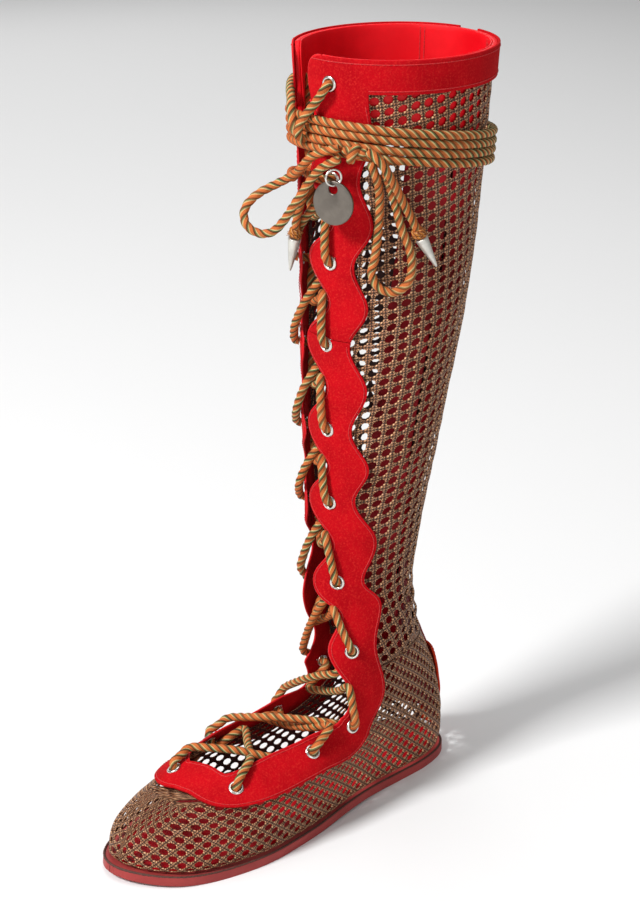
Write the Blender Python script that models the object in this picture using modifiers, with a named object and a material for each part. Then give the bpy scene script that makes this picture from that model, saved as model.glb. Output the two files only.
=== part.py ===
"""Knee-high lace-up boot, left foot: an openwork shaft on a flat leather sole.

The toe points to -Y, the outer side of the foot is +X and the origin is the flat spot under
the heel. Tables are in millimetres and MM turns them into Blender's metres. Every curved
piece is cut from one surface, last_point(around, level): around runs from the back seam
(0) over the outer side to the toe (0.5) and back over the inner side (1), level from the
feather line (0) to the collar (1).
"""
import math

import bmesh
import bpy
import numpy as np
from mathutils import Matrix, Vector

MM = 0.001

# sole
SOLE_THICK = 5.0
INSOLE_THICK = 2.0
INSOLE_INSET = 7.5
TOE_SPRING = 3.0
TOE_SPRING_START = -165.0
TOE_SPRING_RUN = 50.0
ARCH_RISE = 1.5
ARCH_FRONT, ARCH_BACK = -110.0, -25.0

# shell thicknesses and the clearances between them
UPPER_WALL = 1.8
UPPER_TOP_LEVEL = 0.982
OVERLAY_GAP = 1.0
SUEDE_THICK = 1.4
NET_EDGE_BEHIND_EYELETS = 6.0
TOUCH = 0.3

# lace
LACE_DIAMETER = 5.0
LACE_RADIUS = LACE_DIAMETER / 2
EYELET_BORE, EYELET_BARREL, EYELET_RIM, EYELET_CROWN = 2.6, 3.15, 4.4, 1.1
EYELET_HOLE = 3.5
WRAP_PITCH = 5.1
WRAP_TURNS = 4
WRAP_MIDDLE_HEIGHT, WRAP_MIDDLE_Y, WRAP_DROP_PER_MM = 385.4, -4.5, 0.15
TIP_LENGTH, TIP_RADIUS, TIP_POINT_RADIUS = 20.0, 3.6, 0.5
TIP_GAP = 0.45

# tag
TAG_RADIUS, TAG_THICK, TAG_HOLE_RADIUS, TAG_HOLE_RISE = 12.0, 1.6, 2.75, 7.6
TAG_HINGE = (15.2, -67.9, 379.05)
TAG_FACE_TURN_DEG, RING_TURN_DEG = 17.5, 50.0
TAG_CLEARANCE = 0.35
RING_MAJOR, RING_WIRE = 4.3, 0.65

# plan outline of the sole: point, across (outer side +), along (toe -)
OUTLINE = (
    ("heel back", -1, 30),
    ("heel outer back", 18, 22),
    ("heel outer", 27, 0),
    ("waist outer", 30, -45),
    ("little toe joint", 40, -105),
    ("outer toes", 42, -150),
    ("outer toe tip", 28, -193),
    ("toe tip", -4, -215),
    ("inner toe tip", -29, -199),
    ("big toe joint", -47, -140),
    ("inner waist", -32, -75),
    ("inner arch", -25, -40),
    ("heel inner", -28, 0),
    ("heel inner back", -20, 22),
)

# rings of the last above the sole: level, front y, front z, back y, back z, outer half width,
# inner half width, centre x at the front, centre x at the back, roundness (0 is the sole's
# outline, 1 an oval)
RINGS = (
    (0.00, -212, 0.3, 27, 0.3, 41, 45.5, 0, 0, 0.0),
    (0.03, -209, 14, 29, 15, 42, 46, 0, 0, 0.0),
    (0.06, -195, 27, 29, 27, 41, 38, -1, 0, 0.10),
    (0.10, -167, 37, 26, 41, 40, 27, -4, 0, 0.35),
    (0.15, -136, 48, 22, 57, 37, 18, -8, 0, 0.65),
    (0.20, -108, 64, 14, 75, 35, 16, -8, 0, 0.90),
    (0.26, -84, 89, 6, 97, 33, 17, -6, -1, 1.0),
    (0.32, -67, 119, 4, 121, 28, 20, -5, -1, 1.0),
    (0.40, -60, 153, 9, 153, 30, 26, -4, -2, 1.0),
    (0.55, -58, 217, 22, 217, 38, 36.5, -4, -3, 1.0),
    (0.75, -56, 305, 40, 305, 46, 46, -4, -4, 1.0),
    (0.90, -57, 375, 48, 375, 49, 49, -4, -4, 1.0),
    (1.00, -60, 431, 52, 431, 52, 52, -4, -4, 1.0),
)

# eyelet pairs from the vamp (row 0 is the vamp's middle) to the collar: outer eyelet around
# and level, inner eyelet around and level, reach of the facing toward the throat and away
# from it at the eyelet, and the same two reaches half way to the next eyelet
EYELETS = (
    (0.475, 0.107, 0.475, 0.107, 10, 11, 9.5, 11),
    (0.415, 0.097, 0.530, 0.103, 9, 12, 10, 13),
    (0.327, 0.126, 0.672, 0.076, 8.5, 13, 8, 13),
    (0.274, 0.146, 0.748, 0.097, 9, 12.5, 2, 20),
    (0.336, 0.264, 0.768, 0.182, 13, 14.5, 2.5, 21),
    (0.415, 0.348, 0.705, 0.305, 15, 14, 1, 22),
    (0.462, 0.461, 0.645, 0.436, 16, 14, 0, 22.5),
    (0.476, 0.562, 0.640, 0.540, 17, 14, 0, 23),
    (0.486, 0.675, 0.635, 0.650, 17, 14, 0, 23),
    (0.480, 0.780, 0.644, 0.757, 17, 14, 0, 23),
    (0.473, 0.881, 0.650, 0.865, 17, 15, 6, 22),
    (0.475, 0.975, 0.655, 0.962, 21, 20, 19, 20),
)
SEAM_PLACE = 8.16
LEG_TOP_PLACE = 10.8
ROWS_PER_EYELET = 5
MM_PER_PLACE = 46.0

# back of the boot
COLLAR_BOTTOM_LEVEL, COLLAR_TOP_LEVEL = 0.968, 1.0
BACK_GAP = 6.0
ZIP_WIDTH, ZIP_BOTTOM_LEVEL, ZIP_TOP_LEVEL = 9.0, 0.175, 0.952
ZIP_GAP, ZIP_THICK = 0.4, 0.8
STAY_WIDTH, STAY_BOTTOM_LEVEL, STAY_TOP_LEVEL = 15.0, 0.006, 0.168
TAB_WIDTH, TAB_BOTTOM_LEVEL, TAB_TOP_LEVEL = 22.0, 0.970, 0.995

# one lacing strand: heights over the last at the eyelet it leaves, where it steps off the
# facing, where it slips under the facing across, and at the eyelet it comes up through
STRAND_HEIGHTS = (6.3, 5.8, -2.6, -4.4)
STRAND_PAST_EDGE = 3.0
STRAND_CLIMBS = {1: (0.25, 0.45), 2: (0.25, 0.45), 3: (0.4, 0.6), 10: (0.0, 0.9)}
USUAL_CLIMBS = (0.25, 0.25)
STRAND_BRIDGE_POINTS = 3

# lace routes: straps from the top eyelets down to the turns, loops and tails of the bow
STRAP_OUTER = ((5.4, -65.0, 419.9), (2.0, -65.0, 415.6), (-1.6, -64.9, 411.4), (-4.4, -64.8, 407.9))
STRAP_INNER = ((-49.6, -40.6, 413.6), (-42.4, -50.4, 414.6), (-34.4, -56.4, 413.6),
               (-27.6, -59.8, 411.0), (-22.0, -61.6, 407.6))
LOOP_OUTER = ((31.0, -56.0, 383.9), (31.6, -54.8, 379.6), (32.0, -52.9, 375.2), (30.6, -49.8, 368.9),
              (29.5, -48.0, 362.0), (28.9, -47.5, 352.0), (27.7, -47.7, 338.6), (26.3, -48.6, 326.9),
              (26.0, -48.8, 319.4), (28.1, -46.9, 313.6), (32.4, -42.5, 311.5), (36.5, -37.2, 315.1),
              (38.4, -34.5, 322.5), (38.6, -34.7, 333.2), (36.5, -38.3, 346.1), (35.0, -41.6, 359.2),
              (35.1, -45.8, 369.4), (37.0, -50.5, 377.8), (36.6, -52.6, 383.2), (34.0, -56.4, 388.8))
LOOP_INNER = ((16.4, -65.6, 390.2), (8.0, -67.4, 387.4), (-0.3, -68.6, 383.5), (-5.6, -68.6, 379.4),
              (-11.1, -67.6, 374.6), (-20.0, -66.0, 368.6), (-28.8, -69.6, 362.3), (-33.0, -76.2, 356.9),
              (-36.2, -83.1, 350.6), (-36.9, -86.8, 345.2), (-35.3, -87.4, 340.4), (-32.1, -84.6, 339.0),
              (-27.9, -79.6, 341.2), (-18.5, -76.8, 347.2), (-10.6, -74.2, 356.0), (-5.3, -71.2, 363.4),
              (0.0, -69.7, 371.4), (6.2, -68.9, 377.8), (12.2, -67.9, 381.8), (18.4, -67.0, 384.9))
TAIL_OUTER = ((35.2, -62.6, 391.8), (41.0, -58.0, 385.2), (41.4, -50.3, 374.4), (41.2, -43.4, 364.0),
              (41.2, -36.3, 352.9), (42.0, -32.2, 345.6), (42.6, -29.9, 341.0))
TAIL_OUTER_TIP = (45.3, -20.6, 324.0)
TAIL_INNER = ((-8.0, -66.2, 366.3), (-12.7, -62.6, 361.4), (-18.6, -60.8, 352.5), (-23.2, -59.4, 343.5),
              (-25.6, -57.8, 336.8), (-26.8, -57.6, 331.6))
TAIL_INNER_TIP = (-31.0, -57.5, 311.5)
KNOT_CENTRE = (24.6, -62.4, 388.0)
KNOT_HALF_SIZES = (5.4, 4.3, 5.2)
KNOT_TURN_DEG = 25.0
CORD_POINT_SPACING = 9.0

# ---------------------------------------------------------------- the last

def closed_curve(points, steps=24):
    """A smooth closed curve through (x, y) points, with each sample's share of the length."""
    pts = np.array(points, float)
    samples = []
    for i in range(len(pts)):
        a, b, c, d = pts[i - 1], pts[i], pts[(i + 1) % len(pts)], pts[(i + 2) % len(pts)]
        for t in np.arange(steps) / steps:
            samples.append(0.5 * (2 * b + (c - a) * t + (2 * a - 5 * b + 4 * c - d) * t * t
                                  + (3 * b - a - 3 * c + d) * t ** 3))
    samples.append(samples[0])
    samples = np.array(samples)
    length = np.concatenate([[0], np.cumsum(np.linalg.norm(np.diff(samples, axis=0), axis=1))])
    return samples, length / length[-1]


SOLE_CURVE, SOLE_SHARE = closed_curve([(x, y) for _, x, y in OUTLINE])
TOE_Y, HEEL_Y = SOLE_CURVE[:, 1].min(), SOLE_CURVE[:, 1].max()
OUTER_X, INNER_X = SOLE_CURVE[:, 0].max(), -SOLE_CURVE[:, 0].min()


def sole_outline(around):
    """Point (x, y) of the sole's outline."""
    share = around % 1.0
    return (float(np.interp(share, SOLE_SHARE, SOLE_CURVE[:, 0])),
            float(np.interp(share, SOLE_SHARE, SOLE_CURVE[:, 1])))


def sole_lift(y):
    """Height of the sole's underside over the floor: toe spring and arch."""
    lift = 0.0
    if y < TOE_SPRING_START:
        lift += TOE_SPRING * ((TOE_SPRING_START - y) / TOE_SPRING_RUN) ** 2
    if ARCH_FRONT < y < ARCH_BACK:
        lift += ARCH_RISE * math.sin(math.pi * (y - ARCH_FRONT) / (ARCH_BACK - ARCH_FRONT)) ** 2
    return lift


def steady_slopes(x, y):
    """Slopes for a cubic through table rows that never overshoots them."""
    step = np.diff(x)
    rise = np.diff(y, axis=0) / step[:, None]
    slope = np.zeros_like(y)
    slope[0], slope[-1] = rise[0], rise[-1]
    for i in range(1, len(x) - 1):
        before, after = 2 * step[i] + step[i - 1], step[i] + 2 * step[i - 1]
        for j in range(y.shape[1]):
            if rise[i - 1, j] * rise[i, j] > 0:
                slope[i, j] = (before + after) / (before / rise[i - 1, j] + after / rise[i, j])
    return slope


class Table:
    """A table whose first column drives a smooth curve through the others."""

    def __init__(self, rows, steady=True):
        rows = np.array(rows, float)
        self.x, self.y = rows[:, 0], rows[:, 1:]
        if steady:
            self.slope = steady_slopes(self.x, self.y)
        else:
            self.slope = np.gradient(self.y, axis=0) / np.gradient(self.x)[:, None]

    def at(self, x):
        """The row's values at x."""
        x = min(max(x, self.x[0]), self.x[-1])
        i = min(max(int(np.searchsorted(self.x, x, side="right")) - 1, 0), len(self.x) - 2)
        step = self.x[i + 1] - self.x[i]
        t = (x - self.x[i]) / step
        return ((2 * t ** 3 - 3 * t * t + 1) * self.y[i]
                + (t ** 3 - 2 * t * t + t) * step * self.slope[i]
                + (3 * t * t - 2 * t ** 3) * self.y[i + 1]
                + (t ** 3 - t * t) * step * self.slope[i + 1])


LAST = Table(RINGS)
LIFT_FADE_LEVEL = 0.12


def last_point(around, level):
    """Point of the last's surface in millimetres."""
    front_y, front_z, back_y, back_z, outer, inner, front_x, back_x, round_share = LAST.at(level)
    plan_x, plan_y = sole_outline(around)
    angle = 2 * math.pi * around
    side = math.sin(angle)
    plan_width = plan_x * (outer / OUTER_X if plan_x > 0 else inner / INNER_X)
    oval_width = side * (outer if side > 0 else inner)
    plan_back = (plan_y - TOE_Y) / (HEEL_Y - TOE_Y)
    back = plan_back * (1 - round_share) + (1 + math.cos(angle)) / 2 * round_share
    x = plan_width * (1 - round_share) + oval_width * round_share
    x += front_x * (1 - back) + back_x * back
    y = front_y + (back_y - front_y) * back
    fade = max(1 - level / LIFT_FADE_LEVEL, 0.0)
    z = SOLE_THICK + front_z + (back_z - front_z) * back + sole_lift(y) * fade
    return Vector((x, y, z))


SMALL = 0.002


def last_slopes(around, level):
    """Derivatives of the last's surface by around and by level."""
    low, high = max(level - SMALL, 0.0), min(level + SMALL, 1.0)
    by_around = (last_point(around + SMALL, level) - last_point(around - SMALL, level)) / (2 * SMALL)
    by_level = (last_point(around, high) - last_point(around, low)) / (high - low)
    return by_around, by_level


def last_normal(around, level):
    """Unit vector out of the last's surface."""
    by_around, by_level = last_slopes(around, level)
    return by_level.cross(by_around).normalized()


def over_last(around, level, height):
    """Point at a height over the last's surface."""
    return last_point(around, level) + last_normal(around, level) * height


def shifted(around, level, direction, distance):
    """Around and level of the point a distance away along a direction in the surface."""
    by_around, by_level = last_slopes(around, level)
    basis = np.array([by_around, by_level]).T
    move = np.linalg.lstsq(basis, np.array(direction) * distance, rcond=None)[0]
    return around + float(move[0]), level + float(move[1])


# ---------------------------------------------------------------- the eyelet line and facing

EYELET_LINE = Table([(-i, row[2], row[3]) for i, row in enumerate(EYELETS)][:0:-1]
                    + [(i, row[0], row[1]) for i, row in enumerate(EYELETS)], steady=False)


def eyelet_line(place):
    """Around and level on the eyelet line; a negative place is the inner side."""
    return tuple(EYELET_LINE.at(place))


def across_direction(place):
    """Unit vector in the surface from the eyelet line toward the throat."""
    around, level = eyelet_line(place)
    step = 0.12
    top = len(EYELETS) - 1
    ahead = last_point(*eyelet_line(min(place + step, top)))
    behind = last_point(*eyelet_line(max(place - step, -top)))
    return last_normal(around, level).cross(ahead - behind).normalized()


def facing_reach(place):
    """Distances from the eyelet line to the facing's throat edge and outer edge."""
    place = abs(place)
    i = min(int(place), len(EYELETS) - 1)
    here = np.array(EYELETS[i][4:6], float)
    middle = np.array(EYELETS[i][6:8], float)
    after = np.array(EYELETS[min(i + 1, len(EYELETS) - 1)][4:6], float)
    t = place - i
    near = here if t < 0.5 else after
    swing = 0.5 + 0.5 * math.cos(2 * math.pi * t)
    return tuple(middle + (near - middle) * swing)


def facing_place(place, share):
    """Around and level in the facing: share 0 is the throat edge, 1 the outer edge."""
    around, level = eyelet_line(place)
    toward, away = facing_reach(place)
    distance = toward - (toward + away) * share
    return shifted(around, level, across_direction(place), distance)


# ---------------------------------------------------------------- Blender helpers

def clear_scene():
    """Remove the start-up objects."""
    for obj in list(bpy.data.objects):
        bpy.data.objects.remove(obj)


def new_collection(name):
    """A collection linked to the scene."""
    collection = bpy.data.collections.new(name)
    bpy.context.scene.collection.children.link(collection)
    return collection


def make_material(name, color, roughness, metallic=0.0):
    """A Principled material."""
    material = bpy.data.materials.new(name)
    material.use_nodes = True
    shader = material.node_tree.nodes["Principled BSDF"]
    shader.inputs["Base Color"].default_value = (*color, 1.0)
    shader.inputs["Roughness"].default_value = roughness
    shader.inputs["Metallic"].default_value = metallic
    return material


def add_object(name, data, collection, material=None):
    """An object in a collection."""
    obj = bpy.data.objects.new(name, data)
    collection.objects.link(obj)
    if material:
        data.materials.append(material)
    return obj


def metres(point):
    """A point in millimetres as a vector in metres."""
    return Vector(point) * MM


def sheet(name, rows, closed=False, merge=False):
    """A mesh of quads through rows of points in millimetres, each row of equal length."""
    bm = bmesh.new()
    grid = [[bm.verts.new(metres(point)) for point in row] for row in rows]
    width = len(grid[0])
    last = width if closed else width - 1
    for low, high in zip(grid, grid[1:]):
        for j in range(last):
            k = (j + 1) % width
            bm.faces.new((low[j], low[k], high[k], high[j]))
    if merge:
        bmesh.ops.remove_doubles(bm, verts=bm.verts, dist=0.0001)
        bmesh.ops.dissolve_degenerate(bm, edges=bm.edges, dist=0.00001)
    mesh = bpy.data.meshes.new(name)
    bm.to_mesh(mesh)
    bm.free()
    return mesh


def thicken(obj, thickness, side):
    """Solidify: side 1 grows along the normals, -1 against them."""
    modifier = obj.modifiers.new("Wall", "SOLIDIFY")
    modifier.thickness = thickness * MM
    modifier.offset = side
    modifier.use_even_offset = False
    return modifier


def cut(obj, cutter, operation="DIFFERENCE"):
    """Boolean with another object."""
    modifier = obj.modifiers.new(cutter.name, "BOOLEAN")
    modifier.operation = operation
    modifier.solver = "EXACT"
    modifier.object = cutter


def hide_cutter(obj):
    """Mark an object as a cutter."""
    obj.hide_render = True
    obj.display_type = "WIRE"


def tube(name, points, radius, collection, material, resolution=2, closed=False):
    """A cord along points in millimetres."""
    curve = bpy.data.curves.new(name, "CURVE")
    curve.dimensions = "3D"
    curve.bevel_depth = radius * MM
    curve.bevel_resolution = resolution
    curve.use_fill_caps = not closed
    spline = curve.splines.new("POLY")
    spline.points.add(len(points) - 1)
    for spot, point in zip(spline.points, points):
        spot.co = (*metres(point), 1.0)
    spline.use_cyclic_u = closed
    return add_object(name, curve, collection, material)


def tube_mesh(name, points, radius, collection, material, resolution=1):
    """A cord whose mesh can be joined to another."""
    source = tube(name + "_path", points, radius, collection, None, resolution)
    bpy.context.view_layer.update()
    graph = bpy.context.evaluated_depsgraph_get()
    mesh = bpy.data.meshes.new_from_object(source.evaluated_get(graph))
    mesh.name = name
    bpy.data.objects.remove(source)
    bm = bmesh.new()
    bm.from_mesh(mesh)
    bmesh.ops.remove_doubles(bm, verts=bm.verts, dist=0.00001)
    bmesh.ops.recalc_face_normals(bm, faces=bm.faces)
    bm.to_mesh(mesh)
    bm.free()
    mesh.materials.clear()
    return add_object(name, mesh, collection, material)


def smooth_route(points, spacing):
    """Points a spacing apart on a smooth curve through route points."""
    pts = [Vector(point) for point in points]
    pts = [pts[0] * 2 - pts[1]] + pts + [pts[-1] * 2 - pts[-2]]
    fine = []
    for a, b, c, d in zip(pts, pts[1:], pts[2:], pts[3:]):
        for t in np.arange(12) / 12:
            fine.append(0.5 * (2 * b + (c - a) * t + (2 * a - 5 * b + 4 * c - d) * t * t
                               + (3 * b - a - 3 * c + d) * t ** 3))
    fine.append(pts[-2])
    length = [0.0]
    for a, b in zip(fine, fine[1:]):
        length.append(length[-1] + (b - a).length)
    count = max(round(length[-1] / spacing), 2)
    spots = np.linspace(0, length[-1], count + 1)
    return [Vector([np.interp(s, length, [p[axis] for p in fine]) for axis in range(3)])
            for s in spots]


def axis_matrix(point, axis):
    """Matrix in metres that takes the origin to a point and +Z to an axis."""
    turn = Vector(axis).to_track_quat("Z", "Y").to_matrix().to_4x4()
    return Matrix.Translation(metres(point)) @ turn


def turned(name, profile, steps, collection, material, flip=True):
    """A closed profile of (radius, height) pairs, in millimetres, turned about Z."""
    mesh = bpy.data.meshes.new(name)
    bm = bmesh.new()
    verts = [bm.verts.new((radius * MM, 0, height * MM)) for radius, height in profile]
    for a, b in zip(verts, verts[1:] + verts[:1]):
        bm.edges.new((a, b))
    bm.to_mesh(mesh)
    bm.free()
    obj = add_object(name, mesh, collection, material)
    screw = obj.modifiers.new("Turn", "SCREW")
    screw.steps = screw.render_steps = steps
    screw.use_merge_vertices = True
    screw.merge_threshold = 0.00001
    screw.use_normal_calculate = True
    screw.use_normal_flip = flip
    return obj


# ---------------------------------------------------------------- sole and insole

SOLE_STATIONS = 26
SOLE_COLUMNS = 4


def sole_rows(inset, height):
    """Rows of points across the sole from the heel to the toe."""
    rows = []
    middle = Vector((0.0, (TOE_Y + HEEL_Y) / 2))
    for i in range(SOLE_STATIONS + 1):
        around = 0.25 * (1 - math.cos(math.pi * i / SOLE_STATIONS))
        edges = []
        for share in (around, -around):
            x, y = sole_outline(share)
            scale_y = 1 - inset / (HEEL_Y - middle.y)
            pull = 1 - inset / (OUTER_X if x > 0 else INNER_X)
            edges.append(Vector((x * pull, middle.y + (y - middle.y) * scale_y)))
        row = []
        for j in range(SOLE_COLUMNS + 1):
            spot = edges[1].lerp(edges[0], j / SOLE_COLUMNS)
            row.append((spot.x, spot.y, sole_lift(spot.y) + height))
        rows.append(row)
    return rows


def build_sole(parts, materials):
    """Outsole with the true outline, arch and toe spring, and the insole on it."""
    outsole = add_object("outsole", sheet("outsole", sole_rows(0.0, 0.0), merge=True), parts,
                         materials["sole"])
    thicken(outsole, SOLE_THICK, -1)
    insole = add_object("insole", sheet("insole", sole_rows(INSOLE_INSET, SOLE_THICK + TOUCH),
                                        merge=True), parts, materials["lining"])
    thicken(insole, INSOLE_THICK, -1)


# ---------------------------------------------------------------- upper

UPPER_COLUMNS = 32
UPPER_LEVELS = (0, 0.03, 0.06, 0.08, 0.10, 0.125, 0.15, 0.175, 0.20, 0.23, 0.26, 0.29, 0.32, 0.36,
                0.40, 0.475, 0.55, 0.65, 0.75, 0.83, 0.90, UPPER_TOP_LEVEL)
THROAT_LEVELS = (0.0, 0.012, 0.03, 0.05, 0.075, 0.10, 0.13, 0.16, 0.20, 0.26, 0.34, 0.44, 0.55, 0.66,
                 0.77, 0.88)
THROAT_COLUMNS = 8
THROAT_CUT_DEPTH = 5.2
THROAT_TOP_RISE = 22.0


def net_edge(side):
    """Around and level of the net's front edge on one side, from its lowest point up."""
    spots = []
    for place in np.linspace(0, len(EYELETS) - 1, 67):
        around, level = eyelet_line(side * place)
        spots.append(shifted(around, level, across_direction(side * place),
                             -NET_EDGE_BEHIND_EYELETS))
    lowest = min(range(len(spots)), key=lambda i: spots[i][1])
    return np.array(spots[lowest:])


def throat_rows():
    """Rows across the throat between the net's two front edges."""
    outer, inner = net_edge(1), net_edge(-1)
    bottom = max(outer[0, 1], inner[0, 1])
    rows = []
    for rise in THROAT_LEVELS:
        level = bottom + rise
        start = np.interp(level, inner[:, 1], inner[:, 0])
        end = np.interp(level, outer[:, 1], outer[:, 0])
        rows.append([over_last(start + (end - start) * j / THROAT_COLUMNS, level, -THROAT_CUT_DEPTH)
                     for j in range(THROAT_COLUMNS + 1)])
    top = [point + Vector((0, 0, THROAT_TOP_RISE)) for point in rows[-1]]
    return rows + [top]


def build_upper(parts, cutters, materials):
    """The shaft and foot as one hollow wall, open below, at the throat and at the collar."""
    rows = [[last_point(j / UPPER_COLUMNS, level) for j in range(UPPER_COLUMNS)]
            for level in UPPER_LEVELS]
    upper = add_object("upper", sheet("upper", rows, closed=True), parts, materials["net"])
    for face in upper.data.polygons:
        face.use_smooth = True
    upper.data.flip_normals()
    thicken(upper, UPPER_WALL, -1)
    throat = add_object("throat_cutter", sheet("throat_cutter", throat_rows(), merge=True), cutters)
    thicken(throat, 2 * THROAT_CUT_DEPTH, 1)
    hide_cutter(throat)
    cut(upper, throat)


# ---------------------------------------------------------------- facing and collar

FACING_COLUMNS = 3


def facing_row(place, height):
    """One row of points across the facing."""
    return [over_last(*facing_place(place, j / FACING_COLUMNS), height)
            for j in range(FACING_COLUMNS + 1)]


def eyelet_cutter(index, side, cutters):
    """A rod for one eyelet's hole."""
    around, level = eyelet_line(index * side)
    bm = bmesh.new()
    bmesh.ops.create_cone(bm, cap_ends=True, segments=8, radius1=EYELET_HOLE * MM,
                          radius2=EYELET_HOLE * MM, depth=12 * MM,
                          matrix=axis_matrix(last_point(around, level), last_normal(around, level)))
    name = f"eyelet_cutter_{'outer' if side > 0 else 'inner'}_{index:02d}"
    mesh = bpy.data.meshes.new(name)
    bm.to_mesh(mesh)
    bm.free()
    cutter = add_object(name, mesh, cutters)
    hide_cutter(cutter)
    return cutter


def build_facing(parts, cutters, materials):
    """The scalloped facing that runs down one side, round the vamp and up the other."""
    count = round(SEAM_PLACE * ROWS_PER_EYELET)
    places = [SEAM_PLACE * i / count for i in range(-count, count + 1)]
    rows = [facing_row(place, OVERLAY_GAP) for place in places]
    facing = add_object("facing", sheet("facing", rows), parts, materials["suede"])
    thicken(facing, SUEDE_THICK, 1)
    for side in (1, -1):
        for index in range(1, math.ceil(SEAM_PLACE)):
            cut(facing, eyelet_cutter(index, side, cutters))


def collar_rows(side):
    """Rows of one collar piece: a leg with the facing's outline under a band to the back."""
    seam_gap = 2 * TOUCH / MM_PER_PLACE
    leg_steps = round((LEG_TOP_PLACE - SEAM_PLACE) * ROWS_PER_EYELET)
    places = [SEAM_PLACE + seam_gap + (LEG_TOP_PLACE - SEAM_PLACE - seam_gap) * i / leg_steps
              for i in range(leg_steps + 1)]
    return [facing_row(side * place, OVERLAY_GAP) for place in places]


BAND_LEVELS = 3
BAND_COLUMNS = 13
FLAP_ROUND = 8.5
COLLAR_LENGTH = 300.0


def band_rows(side):
    """Rows of the band from the flap's front edge to the back seam."""
    front_around = facing_place(side * LEG_TOP_PLACE, 0)[0]
    leg_around = facing_place(side * LEG_TOP_PLACE, 1)[0]
    back = BACK_GAP / COLLAR_LENGTH if side > 0 else 1 - BACK_GAP / COLLAR_LENGTH
    rows = []
    for i in range(BAND_LEVELS + 1):
        level = COLLAR_BOTTOM_LEVEL + (COLLAR_TOP_LEVEL - COLLAR_BOTTOM_LEVEL) * i / BAND_LEVELS
        rise = i / BAND_LEVELS
        pull = FLAP_ROUND * (1 - math.sqrt(max(1 - rise ** 6, 0))) / COLLAR_LENGTH
        front = front_around - side * pull
        row = []
        for j in range(FACING_COLUMNS):
            row.append(front + (leg_around - front) * j / FACING_COLUMNS)
        for j in range(BAND_COLUMNS + 1):
            row.append(leg_around + (back - leg_around) * j / BAND_COLUMNS)
        rows.append([over_last(around, level, OVERLAY_GAP) for around in row])
    return rows


def build_collar(side, parts, cutters, materials):
    """One collar half: flap, upper facing and band in one piece of suede."""
    name = "collar_outer" if side > 0 else "collar_inner"
    leg, band = collar_rows(side), band_rows(side)
    leg[-1] = band[0][:FACING_COLUMNS + 1]
    bm = bmesh.new()
    for rows in (leg, band):
        grid = [[bm.verts.new(metres(point)) for point in row] for row in rows]
        for low, high in zip(grid, grid[1:]):
            for j in range(len(low) - 1):
                corners = (low[j], low[j + 1], high[j + 1], high[j])
                bm.faces.new(corners if side > 0 else corners[::-1])
    bmesh.ops.remove_doubles(bm, verts=bm.verts, dist=0.00005)
    mesh = bpy.data.meshes.new(name)
    bm.to_mesh(mesh)
    bm.free()
    collar = add_object(name, mesh, parts, materials["suede"])
    thicken(collar, SUEDE_THICK, 1)
    for index in range(math.ceil(SEAM_PLACE), len(EYELETS)):
        cut(collar, eyelet_cutter(index, side, cutters))


# ---------------------------------------------------------------- back of the boot

def back_strip(name, width, bottom, top, steps, height, thickness, parts, material, columns=2):
    """A strip up the middle of the back."""
    rows = []
    for i in range(steps + 1):
        level = bottom + (top - bottom) * i / steps
        by_around, _ = last_slopes(0.0, level)
        half = width / 2 / by_around.length
        rows.append([over_last(-half + 2 * half * j / columns, level, height)
                     for j in range(columns + 1)])
    strip = add_object(name, sheet(name, rows), parts, material)
    strip.data.flip_normals()
    thicken(strip, thickness, 1)


def build_back(parts, materials):
    """Zip up the back, the heel's stay below it and the tab that closes its top."""
    back_strip("zip", ZIP_WIDTH, ZIP_BOTTOM_LEVEL, ZIP_TOP_LEVEL, 22, ZIP_GAP, ZIP_THICK, parts,
               materials["zip"])
    back_strip("back_stay", STAY_WIDTH, STAY_BOTTOM_LEVEL, STAY_TOP_LEVEL, 9, OVERLAY_GAP,
               SUEDE_THICK, parts, materials["suede"])
    back_strip("back_tab", TAB_WIDTH, TAB_BOTTOM_LEVEL, TAB_TOP_LEVEL, 2,
               OVERLAY_GAP + SUEDE_THICK + 2 * TOUCH, SUEDE_THICK, parts, materials["suede"], 4)


# ---------------------------------------------------------------- eyelets and lacing

EYELET_STEPS = 7


def build_eyelets(parts, materials):
    """Eyelets: a barrel through the facing with a domed rim on its face."""
    face = OVERLAY_GAP + SUEDE_THICK
    profile = ((EYELET_BORE, EYELET_CROWN), (EYELET_RIM, TOUCH), (EYELET_BARREL, TOUCH),
               (EYELET_BARREL, -SUEDE_THICK - TOUCH), (EYELET_BORE, -SUEDE_THICK - TOUCH))
    for side, word in ((1, "outer"), (-1, "inner")):
        for index in range(1, len(EYELETS)):
            around, level = eyelet_line(index * side)
            eyelet = turned(f"eyelet_{word}_{index:02d}", profile, EYELET_STEPS, parts,
                            materials["nickel"])
            eyelet.matrix_world = axis_matrix(over_last(around, level, face),
                                              last_normal(around, level))


def past_facing(place):
    """Around and level just past the facing's throat edge."""
    around, level = eyelet_line(place)
    return shifted(around, level, across_direction(place), facing_reach(place)[0] + STRAND_PAST_EDGE)


def strand_points(index, side, climbs):
    """Points of the strand from one eyelet to the next one up on the other side.

    It climbs on its own facing, bridges the throat in a straight line and slips under the
    facing across, still short of its eyelet by the second climb.
    """
    spots = [eyelet_line(index * side), past_facing((index + climbs[0]) * side),
             past_facing(-(index + 1 - climbs[1]) * side), eyelet_line(-(index + 1) * side)]
    first, off, under, last = [over_last(*spot, height)
                               for spot, height in zip(spots, STRAND_HEIGHTS)]
    on_facing = over_last(*(np.add(spots[0], spots[1]) / 2), sum(STRAND_HEIGHTS[:2]) / 2)
    inside = over_last(*(np.add(spots[2], spots[3]) / 2), sum(STRAND_HEIGHTS[2:]) / 2)
    bridge = [off.lerp(under, i / (STRAND_BRIDGE_POINTS + 1))
              for i in range(1, STRAND_BRIDGE_POINTS + 1)]
    return [first, on_facing, off] + bridge + [under, inside, last]


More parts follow.
